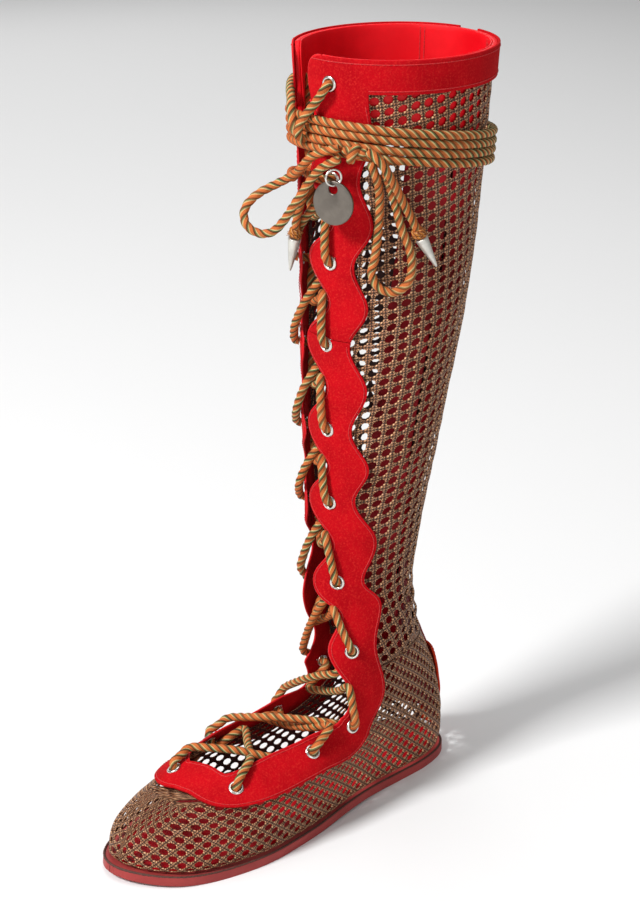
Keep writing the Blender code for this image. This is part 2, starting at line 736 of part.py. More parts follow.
def build_lacing(parts, cutters, materials):
    """One joined crossing between each pair of eyelets and the next."""
    for index in range(1, len(EYELETS) - 1):
        climbs = STRAND_CLIMBS.get(index, USUAL_CLIMBS)
        name = f"lacing_{index:02d}"
        first = tube_mesh(name, strand_points(index, 1, climbs), LACE_RADIUS, parts,
                          materials["lace"])
        second = tube_mesh(name + "_cutter", strand_points(index, -1, climbs), LACE_RADIUS,
                           cutters, None)
        hide_cutter(second)
        cut(first, second, "UNION")


# ---------------------------------------------------------------- lace round the shaft and bow

WRAP_POINTS = 26
WRAP_OVER_FACING = OVERLAY_GAP + SUEDE_THICK + TOUCH + LACE_RADIUS + 0.3
WRAP_OVER_NET = LACE_RADIUS + 0.5
WRAP_OVER_ZIP = ZIP_GAP + ZIP_THICK + LACE_RADIUS + 0.4
FACING_AROUND = (0.375, 0.76)
BLEND_AROUND = 0.05
ZIP_AROUND = 0.03


def smooth_step(share):
    """A smooth step from 0 to 1."""
    share = min(max(share, 0.0), 1.0)
    return share * share * (3 - 2 * share)


def wrap_rise(around):
    """Height of the wound lace over the last: on the facing, over the zip or on the net."""
    inside = min(around - FACING_AROUND[0], FACING_AROUND[1] - around)
    front = smooth_step(inside / BLEND_AROUND + 1)
    behind = smooth_step((ZIP_AROUND - min(around, 1 - around)) / BLEND_AROUND + 1)
    return (WRAP_OVER_NET + (WRAP_OVER_FACING - WRAP_OVER_NET) * front
            + (WRAP_OVER_ZIP - WRAP_OVER_NET) * behind)


def level_at_height(height):
    """Level whose ring lies at a height over the floor, on the shaft."""
    low, high = 0.5, 1.0
    for _ in range(40):
        middle = (low + high) / 2
        if last_point(0.25, middle).z < height:
            low = middle
        else:
            high = middle
    return low


def wrap_point(around, turn):
    """One point of a turn; the turns lean down towards the back."""
    height = WRAP_MIDDLE_HEIGHT + (turn - (WRAP_TURNS - 1) / 2) * WRAP_PITCH
    point = over_last(around, level_at_height(height), wrap_rise(around))
    lean = height - WRAP_DROP_PER_MM * (point.y - WRAP_MIDDLE_Y)
    point = over_last(around, level_at_height(lean), wrap_rise(around))
    point.z = lean
    return point


def build_wraps(parts, materials):
    """The lace wound four times round the top of the shaft."""
    for turn in range(WRAP_TURNS):
        points = [wrap_point(i / WRAP_POINTS, turn) for i in range(WRAP_POINTS)]
        tube(f"lace_wrap_{turn + 1}", points, LACE_RADIUS, parts, materials["lace"], 1, closed=True)


def build_straps(parts, materials):
    """Lace from the top eyelets down to the turns."""
    for word, route in (("outer", STRAP_OUTER), ("inner", STRAP_INNER)):
        tube(f"lace_strap_{word}", smooth_route(route, CORD_POINT_SPACING), LACE_RADIUS, parts,
             materials["lace"])


def build_tip(name, base, point, parts, materials):
    """A metal cone on a lace's end."""
    way = (Vector(point) - Vector(base)).normalized()
    start = Vector(base) + way * (TIP_GAP + TIP_LENGTH / 2)
    bm = bmesh.new()
    bmesh.ops.create_cone(bm, cap_ends=True, segments=12, radius1=TIP_RADIUS * MM,
                          radius2=TIP_POINT_RADIUS * MM, depth=TIP_LENGTH * MM)
    mesh = bpy.data.meshes.new(name)
    bm.to_mesh(mesh)
    bm.free()
    tip = add_object(name, mesh, parts, materials["tip"])
    tip.matrix_world = axis_matrix(start, way)


def build_bow(parts, materials):
    """Knot, two loops and two tails with their metal tips."""
    lace = materials["lace"]
    for name, route in (("lace_loop_outer", LOOP_OUTER), ("lace_loop_inner", LOOP_INNER),
                        ("lace_tail_outer", TAIL_OUTER), ("lace_tail_inner", TAIL_INNER)):
        tube(name, smooth_route(route, CORD_POINT_SPACING), LACE_RADIUS, parts, lace)
    build_tip("tip_outer", TAIL_OUTER[-1], TAIL_OUTER_TIP, parts, materials)
    build_tip("tip_inner", TAIL_INNER[-1], TAIL_INNER_TIP, parts, materials)
    bm = bmesh.new()
    bmesh.ops.create_uvsphere(bm, u_segments=12, v_segments=8, radius=MM)
    bmesh.ops.scale(bm, vec=Vector(KNOT_HALF_SIZES), verts=bm.verts)
    mesh = bpy.data.meshes.new("lace_knot")
    bm.to_mesh(mesh)
    bm.free()
    knot = add_object("lace_knot", mesh, parts, lace)
    knot.location = metres(KNOT_CENTRE)
    knot.rotation_euler.z = math.radians(KNOT_TURN_DEG)


# ---------------------------------------------------------------- tag

def round_plate(name, radius, thickness, segments):
    """A flat disc facing along Y."""
    bm = bmesh.new()
    bmesh.ops.create_cone(bm, cap_ends=True, segments=segments, radius1=radius * MM,
                          radius2=radius * MM, depth=thickness * MM,
                          matrix=Matrix.Rotation(math.radians(90), 4, "X"))
    mesh = bpy.data.meshes.new(name)
    bm.to_mesh(mesh)
    bm.free()
    return mesh


def build_tag(parts, cutters, materials):
    """Bare round tag hung by a wire ring from the inner loop's lower strand."""
    hinge = bpy.data.objects.new("tag_hinge", None)
    parts.objects.link(hinge)
    hinge.location = metres(TAG_HINGE)
    hinge.rotation_euler.z = math.radians(TAG_FACE_TURN_DEG)
    wire = [(RING_MAJOR + RING_WIRE * math.cos(math.pi * i / 3),
             -RING_WIRE * math.sin(math.pi * i / 3)) for i in range(6)]
    ring = turned("tag_ring", wire, 16, parts, materials["nickel"], flip=False)
    ring.parent = hinge
    ring.location = metres((0, 0, -RING_MAJOR))
    ring.rotation_euler = (math.radians(90), 0, math.radians(RING_TURN_DEG))
    hole_drop = 2 * RING_MAJOR - RING_WIRE - TAG_CLEARANCE + TAG_HOLE_RADIUS
    tag = add_object("tag", round_plate("tag", TAG_RADIUS, TAG_THICK, 32), parts,
                     materials["steel"])
    tag.location = metres((0, 0, -hole_drop - TAG_HOLE_RISE))
    hole = add_object("tag_hole_cutter", round_plate("tag_hole_cutter", TAG_HOLE_RADIUS,
                                                     3 * TAG_THICK, 16), cutters)
    hole.location = metres((0, 0, -hole_drop))
    hide_cutter(hole)
    for piece in (tag, hole):
        piece.parent = hinge
    cut(tag, hole)


def main():
    """Build every piece."""
    clear_scene()
    parts = new_collection("knee_high_boot")
    cutters = new_collection("cutters")
    materials = {
        "sole": make_material("sole_leather", (0.48, 0.07, 0.06), 0.45),
        "lining": make_material("lining_leather", (0.70, 0.01, 0.02), 0.4),
        "net": make_material("net_cord", (0.28, 0.17, 0.07), 0.45, 0.6),
        "suede": make_material("suede", (0.58, 0.02, 0.02), 0.9),
        "zip": make_material("zip_tape", (0.12, 0.01, 0.01), 0.6),
        "nickel": make_material("nickel", (0.72, 0.70, 0.66), 0.3, 1.0),
        "steel": make_material("tag_steel", (0.22, 0.22, 0.23), 0.35, 1.0),
        "tip": make_material("tip_metal", (0.62, 0.62, 0.58), 0.45, 0.8),
        "lace": make_material("lace_cord", (0.70, 0.25, 0.08), 0.7),
    }
    build_sole(parts, materials)
    build_upper(parts, cutters, materials)
    build_facing(parts, cutters, materials)
    build_collar(1, parts, cutters, materials)
    build_collar(-1, parts, cutters, materials)
    build_back(parts, materials)
    build_eyelets(parts, materials)
    build_lacing(parts, cutters, materials)
    build_wraps(parts, materials)
    build_straps(parts, materials)
    build_bow(parts, materials)
    build_tag(parts, cutters, materials)


main()
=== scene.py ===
"""Dress the knee-high lace-up boot: openwork shaft, suede facing, rope lace, bow and tag.

The toe points to -Y, the outer side is +X, and the origin is the flat spot under the heel.
Tables and shapes are worked out in millimetres; MM turns them into metres. The curved pieces
all follow one surface, Last.points(around, level): around runs from the back seam (0) over the
outer side to the toe (0.5) and back over the inner side (1), level from the feather line (0)
to the collar (1).
"""

import logging
import math
from collections.abc import Callable, Sequence
from dataclasses import dataclass
from enum import Enum
from typing import Any

import bmesh
import bpy
import numpy as np
from mathutils import Matrix, Vector

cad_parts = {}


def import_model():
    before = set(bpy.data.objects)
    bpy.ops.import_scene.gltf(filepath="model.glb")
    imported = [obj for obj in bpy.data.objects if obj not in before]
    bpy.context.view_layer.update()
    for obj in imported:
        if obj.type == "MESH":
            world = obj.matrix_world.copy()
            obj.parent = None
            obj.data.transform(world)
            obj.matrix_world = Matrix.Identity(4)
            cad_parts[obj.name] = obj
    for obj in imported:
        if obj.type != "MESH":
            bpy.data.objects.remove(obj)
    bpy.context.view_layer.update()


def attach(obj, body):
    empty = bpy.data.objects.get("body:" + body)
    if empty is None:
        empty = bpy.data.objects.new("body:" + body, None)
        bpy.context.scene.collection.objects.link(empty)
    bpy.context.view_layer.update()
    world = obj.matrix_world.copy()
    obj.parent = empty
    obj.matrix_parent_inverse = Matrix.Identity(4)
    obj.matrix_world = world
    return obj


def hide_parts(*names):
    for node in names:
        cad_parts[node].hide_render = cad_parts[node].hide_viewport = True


log = logging.getLogger("knee_high_boot")

MM = 0.001
Array = np.ndarray
Mapper = Callable[[Array, Array], Array]

OUTLINE = (
    (-1, 30), (18, 22), (27, 0), (30, -45), (40, -105), (42, -150), (28, -193), (-4, -215),
    (-29, -199), (-47, -140), (-32, -75), (-25, -40), (-28, 0), (-20, 22),
)

# level, front y, front z, back y, back z, outer half width, inner half width, front centre x,
# back centre x, roundness
RINGS = (
    (0.00, -212, 0.3, 27, 0.3, 41, 45.5, 0, 0, 0.0),
    (0.03, -209, 14, 29, 15, 42, 46, 0, 0, 0.0),
    (0.06, -195, 27, 29, 27, 41, 38, -1, 0, 0.10),
    (0.10, -167, 37, 26, 41, 40, 27, -4, 0, 0.35),
    (0.15, -136, 48, 22, 57, 37, 18, -8, 0, 0.65),
    (0.20, -108, 64, 14, 75, 35, 16, -8, 0, 0.90),
    (0.26, -84, 89, 6, 97, 33, 17, -6, -1, 1.0),
    (0.32, -67, 119, 4, 121, 28, 20, -5, -1, 1.0),
    (0.40, -60, 153, 9, 153, 30, 26, -4, -2, 1.0),
    (0.55, -58, 217, 22, 217, 38, 36.5, -4, -3, 1.0),
    (0.75, -56, 305, 40, 305, 46, 46, -4, -4, 1.0),
    (0.90, -57, 375, 48, 375, 49, 49, -4, -4, 1.0),
    (1.00, -60, 431, 52, 431, 52, 52, -4, -4, 1.0),
)

# outer eyelet around and level, inner eyelet around and level, reach of the facing toward the
# throat and away from it at the eyelet, and the same half way to the next eyelet
EYELETS = (
    (0.475, 0.107, 0.475, 0.107, 10, 11, 9.5, 11),
    (0.415, 0.097, 0.530, 0.103, 9, 12, 10, 13),
    (0.327, 0.126, 0.672, 0.076, 8.5, 13, 8, 13),
    (0.274, 0.146, 0.748, 0.097, 9, 12.5, 2, 20),
    (0.336, 0.264, 0.768, 0.182, 13, 14.5, 2.5, 21),
    (0.415, 0.348, 0.705, 0.305, 15, 14, 1, 22),
    (0.462, 0.461, 0.645, 0.436, 16, 14, 0, 22.5),
    (0.476, 0.562, 0.640, 0.540, 17, 14, 0, 23),
    (0.486, 0.675, 0.635, 0.650, 17, 14, 0, 23),
    (0.480, 0.780, 0.644, 0.757, 17, 14, 0, 23),
    (0.473, 0.881, 0.650, 0.865, 17, 15, 6, 22),
    (0.475, 0.975, 0.655, 0.962, 21, 20, 19, 20),
)


class Side(Enum):
    """The two sides of the boot."""

    OUTER = 1
    INNER = -1

    @property
    def word(self) -> str:
        """The side's name in lower case."""
        return self.name.lower()


class Body(Enum):
    """The moving bodies of the frame."""

    BOOT = "boot"
    TAG = "tag"


class Slot(Enum):
    """The record's material slots."""

    SOLE = "sole_leather"
    LINING = "lining_leather"
    NET = "net_cord"
    SUEDE = "suede"
    ZIP = "zip_tape"
    NICKEL = "nickel"
    STEEL = "tag_steel"
    TIP = "tip_metal"
    LACE = "lace_cord"


# ---------------------------------------------------------------- curves and the last


class Table:
    """A table whose first column drives a smooth curve through the others."""

    def __init__(self, rows: Sequence[Sequence[float]], steady: bool = True) -> None:
        """Read the rows and find the curve's slope at each.

        Args:
            rows: The rows, the driving value first.
            steady: True keeps the curve from overshooting the rows.
        """
        table = np.array(rows, float)
        self.x, self.y = table[:, 0], table[:, 1:]
        if steady:
            self.slope = self._steady_slopes()
        else:
            self.slope = np.gradient(self.y, axis=0) / np.gradient(self.x)[:, None]

    def _steady_slopes(self) -> Array:
        """Slopes that never overshoot the rows."""
        step = np.diff(self.x)[:, None]
        rise = np.diff(self.y, axis=0) / step
        slope = np.zeros_like(self.y)
        slope[0], slope[-1] = rise[0], rise[-1]
        before, after = 2 * step[1:] + step[:-1], step[1:] + 2 * step[:-1]
        low, high = rise[:-1], rise[1:]
        same = low * high > 0
        safe_low, safe_high = np.where(same, low, 1), np.where(same, high, 1)
        mean = (before + after) / (before / safe_low + after / safe_high)
        slope[1:-1] = np.where(same, mean, 0)
        return slope

    def at(self, x: Array) -> Array:
        """Values at each x, one row per x."""
        x = np.clip(listed(x), self.x[0], self.x[-1])
        i = np.clip(np.searchsorted(self.x, x, side="right") - 1, 0, len(self.x) - 2)
        step = (self.x[i + 1] - self.x[i])[:, None]
        t = (x - self.x[i])[:, None] / step
        return ((2 * t ** 3 - 3 * t * t + 1) * self.y[i]
                + (t ** 3 - 2 * t * t + t) * step * self.slope[i]
                + (3 * t * t - 2 * t ** 3) * self.y[i + 1]
                + (t ** 3 - t * t) * step * self.slope[i + 1])


def curve_through(points: Array, steps: int, closed: bool = False) -> Array:
    """Sample a smooth curve through points.

    Args:
        points: The points to pass, one per row.
        steps: Samples between two points.
        closed: Whether the last point joins the first.

    Returns:
        The samples, one per row, with the first repeated at the end of a closed curve.
    """
    if closed:
        pts = np.vstack([points[-1:], points, points[:2]])
    else:
        pts = np.vstack([2 * points[0] - points[1], points, 2 * points[-1] - points[-2]])
    a, b, c, d = (pts[i:len(pts) - 3 + i, None, :] for i in range(4))
    t = (np.arange(steps) / steps)[None, :, None]
    fine = 0.5 * (2 * b + (c - a) * t + (2 * a - 5 * b + 4 * c - d) * t * t
                  + (3 * b - a - 3 * c + d) * t ** 3)
    fine = fine.reshape(-1, points.shape[1])
    return np.vstack([fine, fine[:1] if closed else points[-1:]])


def lengths(points: Array) -> Array:
    """Length along a line of points, at each point."""
    return np.concatenate([[0.0], np.cumsum(np.linalg.norm(np.diff(points, axis=0), axis=1))])


def resampled(points: Array, spacing: float) -> Array:
    """Points evenly spaced along a line of points."""
    along = lengths(points)
    count = max(round(along[-1] / spacing), 2)
    spots = np.linspace(0, along[-1], count + 1)
    return np.stack([np.interp(spots, along, points[:, k]) for k in range(points.shape[1])], 1)


def listed(values: Array | float) -> Array:
    """Numbers as an array, even where there is only one."""
    return np.atleast_1d(np.asarray(values, float))


def unit(vectors: Array) -> Array:
    """Vectors scaled to length one."""
    return vectors / np.linalg.norm(vectors, axis=-1, keepdims=True)


class Last:
    """The surface that the boot is built on."""

    SOLE_THICK = 5.0
    TOE_SPRING, TOE_SPRING_START, TOE_SPRING_RUN = 3.0, -165.0, 50.0
    ARCH_RISE, ARCH_FRONT, ARCH_BACK = 1.5, -110.0, -25.0
    LIFT_FADE_LEVEL = 0.12
    SMALL = 0.002

    def __init__(self) -> None:
        """Prepare the outline and the rings."""
        self.rings = Table(RINGS)
        self.curve = curve_through(np.array(OUTLINE, float), 24, closed=True)
        along = lengths(self.curve)
        self.share = along / along[-1]
        self.toe_y, self.heel_y = self.curve[:, 1].min(), self.curve[:, 1].max()
        self.outer_x, self.inner_x = self.curve[:, 0].max(), -self.curve[:, 0].min()

    def outline(self, around: Array) -> tuple[Array, Array]:
        """X and Y of the sole's outline."""
        share = np.asarray(around, float) % 1.0
        return (np.interp(share, self.share, self.curve[:, 0]),
                np.interp(share, self.share, self.curve[:, 1]))

    def lift(self, y: Array) -> Array:
        """Height of the sole's underside over the floor."""
        spring = np.maximum((self.TOE_SPRING_START - y) / self.TOE_SPRING_RUN, 0) ** 2
        share = np.clip((y - self.ARCH_FRONT) / (self.ARCH_BACK - self.ARCH_FRONT), 0, 1)
        return self.TOE_SPRING * spring + self.ARCH_RISE * np.sin(np.pi * share) ** 2

    def points(self, around: Array, level: Array) -> Array:
        """Points of the surface in millimetres, one per row."""
        around, level = np.broadcast_arrays(listed(around), listed(level))
        (front_y, front_z, back_y, back_z, outer, inner, front_x, back_x,
         round_share) = self.rings.at(level).T
        plan_x, plan_y = self.outline(around)
        angle = 2 * np.pi * around
        side = np.sin(angle)
        plan_width = plan_x * np.where(plan_x > 0, outer / self.outer_x, inner / self.inner_x)
        oval_width = side * np.where(side > 0, outer, inner)
        plan_back = (plan_y - self.toe_y) / (self.heel_y - self.toe_y)
        back = plan_back * (1 - round_share) + (1 + np.cos(angle)) / 2 * round_share
        x = plan_width * (1 - round_share) + oval_width * round_share
        x = x + front_x * (1 - back) + back_x * back
        y = front_y + (back_y - front_y) * back
        fade = np.maximum(1 - level / self.LIFT_FADE_LEVEL, 0)
        z = self.SOLE_THICK + front_z + (back_z - front_z) * back + self.lift(y) * fade
        return np.stack([x, y, z], axis=1)

    def slopes(self, around: Array, level: Array) -> tuple[Array, Array]:
        """Derivatives of the surface by around and by level."""
        level = listed(level)
        low, high = np.maximum(level - self.SMALL, 0), np.minimum(level + self.SMALL, 1)
        by_around = (self.points(around + self.SMALL, level)
                     - self.points(around - self.SMALL, level)) / (2 * self.SMALL)
        by_level = (self.points(around, high) - self.points(around, low)) / (high - low)[:, None]
        return by_around, by_level

    def normals(self, around: Array, level: Array) -> Array:
        """Unit vectors out of the surface."""
        by_around, by_level = self.slopes(around, level)
        return unit(np.cross(by_level, by_around))

    def over(self, around: Array, level: Array, height: Array | float) -> Array:
        """Points at a height over the surface."""
        around, level = np.broadcast_arrays(listed(around), listed(level))
        rise = np.broadcast_to(np.asarray(height, float), around.shape)[:, None]
        return self.points(around, level) + self.normals(around, level) * rise

    def shifted(self, around: Array, level: Array, way: Array,
                distance: Array) -> tuple[Array, Array]:
        """Move spots in the surface.

        Args:
            around: Around of each spot.
            level: Level of each spot.
            way: Unit vector of each move.
            distance: Length of each move.

        Returns:
            The new around and level.
        """
        a, b = self.slopes(around, level)
        move = way * np.asarray(distance, float)[:, None]
        aa, ab, bb = (a * a).sum(1), (a * b).sum(1), (b * b).sum(1)
        ma, mb = (move * a).sum(1), (move * b).sum(1)
        det = aa * bb - ab * ab
        return around + (ma * bb - mb * ab) / det, level + (mb * aa - ma * ab) / det


class EyeletLine:
    """The smooth line through all the eyelets, and the facing's outline beside it."""

    STEP = 0.12
    TOP = len(EYELETS) - 1
    NET_EDGE_BEHIND = 6.0

    def __init__(self, last: Last) -> None:
        """Lay the line on the last."""
        self.last = last
        inner = [(-i, row[2], row[3]) for i, row in enumerate(EYELETS)][:0:-1]
        outer = [(i, row[0], row[1]) for i, row in enumerate(EYELETS)]
        self.line = Table(inner + outer, steady=False)

    def spots(self, place: Array) -> tuple[Array, Array]:
        """Around and level on the line; a negative place is the inner side."""
        found = self.line.at(place)
        return found[:, 0], found[:, 1]

    def across(self, place: Array) -> Array:
        """Unit vectors in the surface from the line toward the throat."""
        place = listed(place)
        around, level = self.spots(place)
        ahead = self.last.points(*self.spots(np.minimum(place + self.STEP, self.TOP)))
        behind = self.last.points(*self.spots(np.maximum(place - self.STEP, -self.TOP)))
        return unit(np.cross(self.last.normals(around, level), ahead - behind))

    def reach(self, place: Array) -> tuple[Array, Array]:
        """Distances from the line to the facing's throat edge and outer edge."""
        place = np.abs(listed(place))
        rows = np.array(EYELETS, float)
        i = np.minimum(place.astype(int), self.TOP)
        after = np.minimum(i + 1, self.TOP)
        t = place - i
        near = np.where((t < 0.5)[:, None], rows[i, 4:6], rows[after, 4:6])
        middle = rows[i, 6:8]
        swing = (0.5 + 0.5 * np.cos(2 * np.pi * t))[:, None]
        reach = middle + (near - middle) * swing
        return reach[:, 0], reach[:, 1]

    def facing(self, place: Array, share: Array) -> tuple[Array, Array]:
        """Around and level in the facing: share 0 is the throat edge, 1 the outer edge."""
        place = listed(place)
        around, level = self.spots(place)
        toward, away = self.reach(place)
        distance = toward - (toward + away) * share
        return self.last.shifted(around, level, self.across(place), distance)

    def net_edge(self, side: Side) -> Array:
        """Around and level of the net's front edge on one side, from its lowest point up."""
        place = np.linspace(0, self.TOP, 133) * side.value
        around, level = self.spots(place)
        behind = np.full(len(place), -self.NET_EDGE_BEHIND)
        spots = np.stack(self.last.shifted(around, level, self.across(place), behind), axis=1)
        return spots[int(np.argmin(spots[:, 1])):]

    def past_facing(self, place: Array, past: float) -> tuple[Array, Array]:
        """Around and level just past the facing's throat edge."""
        place = listed(place)
        around, level = self.spots(place)
        return self.last.shifted(around, level, self.across(place), self.reach(place)[0] + past)


# ---------------------------------------------------------------- shader graphs and finishes


@dataclass(frozen=True)
class Wire:
    """A socket's output that Python's operators can be used on."""

    graph: "Graph"
    socket: bpy.types.NodeSocket

    def _math(self, operation: str, *values: "Wire | float") -> "Wire":
        """A Math node fed with values in order."""
        node = self.graph.node("ShaderNodeMath", {"operation": operation},
                               dict(enumerate(values)))
        return Wire(self.graph, node.outputs[0])

    def __add__(self, other: "Wire | float") -> "Wire":
        """Sum."""
        return self._math("ADD", self, other)

    __radd__ = __add__

    def __mul__(self, other: "Wire | float") -> "Wire":
        """Product."""
        return self._math("MULTIPLY", self, other)

    __rmul__ = __mul__

    def __sub__(self, other: "Wire | float") -> "Wire":
        """Difference."""
        return self._math("SUBTRACT", self, other)

    def __rsub__(self, other: float) -> "Wire":
        """Difference from a number."""
        return self._math("SUBTRACT", other, self)

    def __pow__(self, other: float) -> "Wire":
        """Power."""
        return self._math("POWER", self, other)

    def fraction(self) -> "Wire":
        """What is left after the whole number."""
        return self._math("FRACT", self)

    def whole(self) -> "Wire":
        """The whole number below."""
        return self._math("FLOOR", self)

    def size(self) -> "Wire":
        """The value without its sign."""
        return self._math("ABSOLUTE", self)

    def least(self, other: "Wire | float") -> "Wire":
        """The smaller of two."""
        return self._math("MINIMUM", self, other)

    def step(self, low: float, high: float) -> "Wire":
        """A smooth step from 0 at low to 1 at high."""
        node = self.graph.node("ShaderNodeMapRange", {"interpolation_type": "SMOOTHSTEP"},
                               {"Value": self, "From Min": low, "From Max": high})
        return Wire(self.graph, node.outputs[0])

    def ridge(self, centre: float, half: float) -> "Wire":
        """1 at a centre, falling to 0 a half width away on both sides."""
        return 1.0 - (self - centre).size().step(0.0, half)


class Graph:
    """A material and its nodes."""

    def __init__(self, name: str, color: Sequence[float], roughness: float, metallic: float = 0.0,
                 **constants: float) -> None:
        """Make a material with one Principled shader.

        Args:
            name: The material's name.
            color: Base colour where no node drives it.
            roughness: Roughness where no node drives it.
            metallic: Metallic where no node drives it.
            **constants: Other sockets' values, with _ for a space in a socket's name.
        """
        self.material = bpy.data.materials.new(name)
        self.material.use_nodes = True
        self.tree = self.material.node_tree
        self.shader = self.tree.nodes["Principled BSDF"]
        self.shader.inputs["Base Color"].default_value = (*color, 1.0)
        self.shader.inputs["Roughness"].default_value = roughness
        self.shader.inputs["Metallic"].default_value = metallic
        for key, value in constants.items():
            self.shader.inputs[key.replace("_", " ")].default_value = value

    def node(self, kind: str, settings: dict[str, Any] | None = None,
             inputs: dict[str | int, Any] | None = None) -> bpy.types.Node:
        """Make one node.

        Args:
            kind: The node's type.
            settings: Its own settings; "stops" are a ramp's positions and colours.
            inputs: Values or wires for its sockets.

        Returns:
            The node.
        """
        node = self.tree.nodes.new(kind)
        for key, value in (settings or {}).items():
            if key == "stops":
                ramp = node.color_ramp
                while len(ramp.elements) < len(value):
                    ramp.elements.new(1.0)
                for element, (position, color) in zip(ramp.elements, value):
                    element.position = position
                    element.color = (*color, 1.0)
            else:
                setattr(node, key, value)
        for key, value in (inputs or {}).items():
            if isinstance(value, Wire):
                self.tree.links.new(value.socket, node.inputs[key])
            else:
                node.inputs[key].default_value = value
        return node

    def wire(self, kind: str, settings: dict[str, Any] | None = None,
             inputs: dict[str | int, Any] | None = None, output: str | int = 0) -> Wire:
        """Make one node and take one of its outputs."""
        return Wire(self, self.node(kind, settings, inputs).outputs[output])

    def place(self) -> Wire:
        """Object coordinates."""
        return self.wire("ShaderNodeTexCoord", output="Object")

    def lay(self) -> tuple[Wire, Wire]:
        """The two values of the piece's own UV map."""
        uv = self.wire("ShaderNodeUVMap", {"uv_map": "lay"})
        node = self.node("ShaderNodeSeparateXYZ", None, {0: uv})
        return Wire(self, node.outputs[0]), Wire(self, node.outputs[1])

    def noise(self, per_metre: float, detail: float = 2.0, roughness: float = 0.5) -> Wire:
        """Noise in the object's own space, from 0 to 1."""
        return self.wire("ShaderNodeTexNoise", None,
                         {"Vector": self.place(), "Scale": per_metre,
                          "Detail": detail, "Roughness": roughness})

    def cells(self, per_metre: float) -> Wire:
        """Distance to the edges of small irregular cells."""
        return self.wire("ShaderNodeTexVoronoi", {"feature": "DISTANCE_TO_EDGE"},
                         {"Vector": self.place(), "Scale": per_metre})

    def ramp(self, value: Wire, *stops: tuple[float, Sequence[float]]) -> Wire:
        """A colour looked up by a value."""
        return self.wire("ShaderNodeValToRGB", {"stops": stops}, {0: value})

    def mix(self, share: Wire | float, first: Wire | Sequence[float],
            second: Wire | Sequence[float]) -> Wire:
        """Mix two colours."""
        colors = [value if isinstance(value, Wire) else (*value, 1.0) for value in (first, second)]
        return self.wire("ShaderNodeMix", {"data_type": "RGBA", "blend_type": "MIX"},
                         {0: share, 6: colors[0], 7: colors[1]}, output=2)

    def finish(self, color: Wire | None = None, roughness: Wire | None = None,
               bump: Wire | None = None, depth: float = 0.1,
               strength: float = 1.0) -> bpy.types.Material:
        """Join the results to the shader.

        Args:
            color: Base colour.
            roughness: Roughness.
            bump: Height of the bumps, from 0 to 1.
            depth: The bumps' depth in millimetres.
            strength: The bumps' strength.

        Returns:
            The material.
        """
        for name, value in (("Base Color", color), ("Roughness", roughness)):
            if value is not None:
                self.tree.links.new(value.socket, self.shader.inputs[name])
        if bump is not None:
            normal = self.wire("ShaderNodeBump", None, {"Height": bump, "Distance": depth * MM,
                                                        "Strength": strength})
            self.tree.links.new(normal.socket, self.shader.inputs["Normal"])
        return self.material


@dataclass(frozen=True)
class Suede:
    """Napped split leather."""

    name: str
    color: tuple[float, float, float] = (0.47, 0.002, 0.007)
    dark: tuple[float, float, float] = (0.35, 0.001, 0.005)
    light: tuple[float, float, float] = (0.66, 0.030, 0.022)

    def make(self) -> bpy.types.Material:
        """Brushed patches, fine grain and a soft bloom at the edges."""
        graph = Graph(self.name, self.color, 0.95, Sheen_Weight=0.06, Sheen_Roughness=0.5)
        graph.shader.inputs["Sheen Tint"].default_value = (1.0, 0.12, 0.08, 1.0)
        graph.shader.inputs["Specular IOR Level"].default_value = 0.06
        patches = graph.noise(38, 3, 0.6).step(0.3, 0.72)
        grain = graph.noise(900, 4, 0.7)
        color = graph.mix(patches, self.dark, self.color)
        color = graph.mix(grain.step(0.45, 0.75) * 0.55, color, self.light)
        rough = 0.82 + grain * 0.16
        return graph.finish(color, rough, grain + graph.noise(260, 2) * 0.6, 0.25, 0.7)


@dataclass(frozen=True)
class Leather:
    """Smooth dyed leather."""

    name: str
    color: tuple[float, float, float]
    dark: tuple[float, float, float]
    roughness: float = 0.42

    def make(self) -> bpy.types.Material:
        """Fine pebbled grain with rubbed patches."""
        graph = Graph(self.name, self.color, self.roughness, Specular_IOR_Level=0.22)
        grain = graph.cells(1400).step(0.0, 0.12)
        patches = graph.noise(45, 4, 0.6).step(0.35, 0.7)
        color = graph.mix(patches * 0.6 + 0.2, self.dark, self.color)
        color = graph.mix((1.0 - grain) * 0.25, color, self.dark)
        rough = self.roughness - 0.08 + patches * 0.12
        return graph.finish(color, rough, grain * 0.5 + graph.noise(500, 3), 0.08, 0.6)


@dataclass(frozen=True)
class Metal:
    """Brushed or polished metal."""

    name: str
    color: tuple[float, float, float]
    roughness: float
    metallic: float = 1.0
    scratch: float = 0.06

    def make(self) -> bpy.types.Material:
        """Fine scratches and slightly cloudy gloss."""
        graph = Graph(self.name, self.color, self.roughness, self.metallic)
        dark = tuple(0.82 * part for part in self.color)
        cloud = graph.noise(160, 3, 0.6)
        fine = graph.noise(1800, 2, 0.5)
        rough = self.roughness - 0.06 + cloud * 0.14
        return graph.finish(graph.mix(cloud.step(0.35, 0.7), dark, self.color), rough, fine,
                            self.scratch, 0.25)


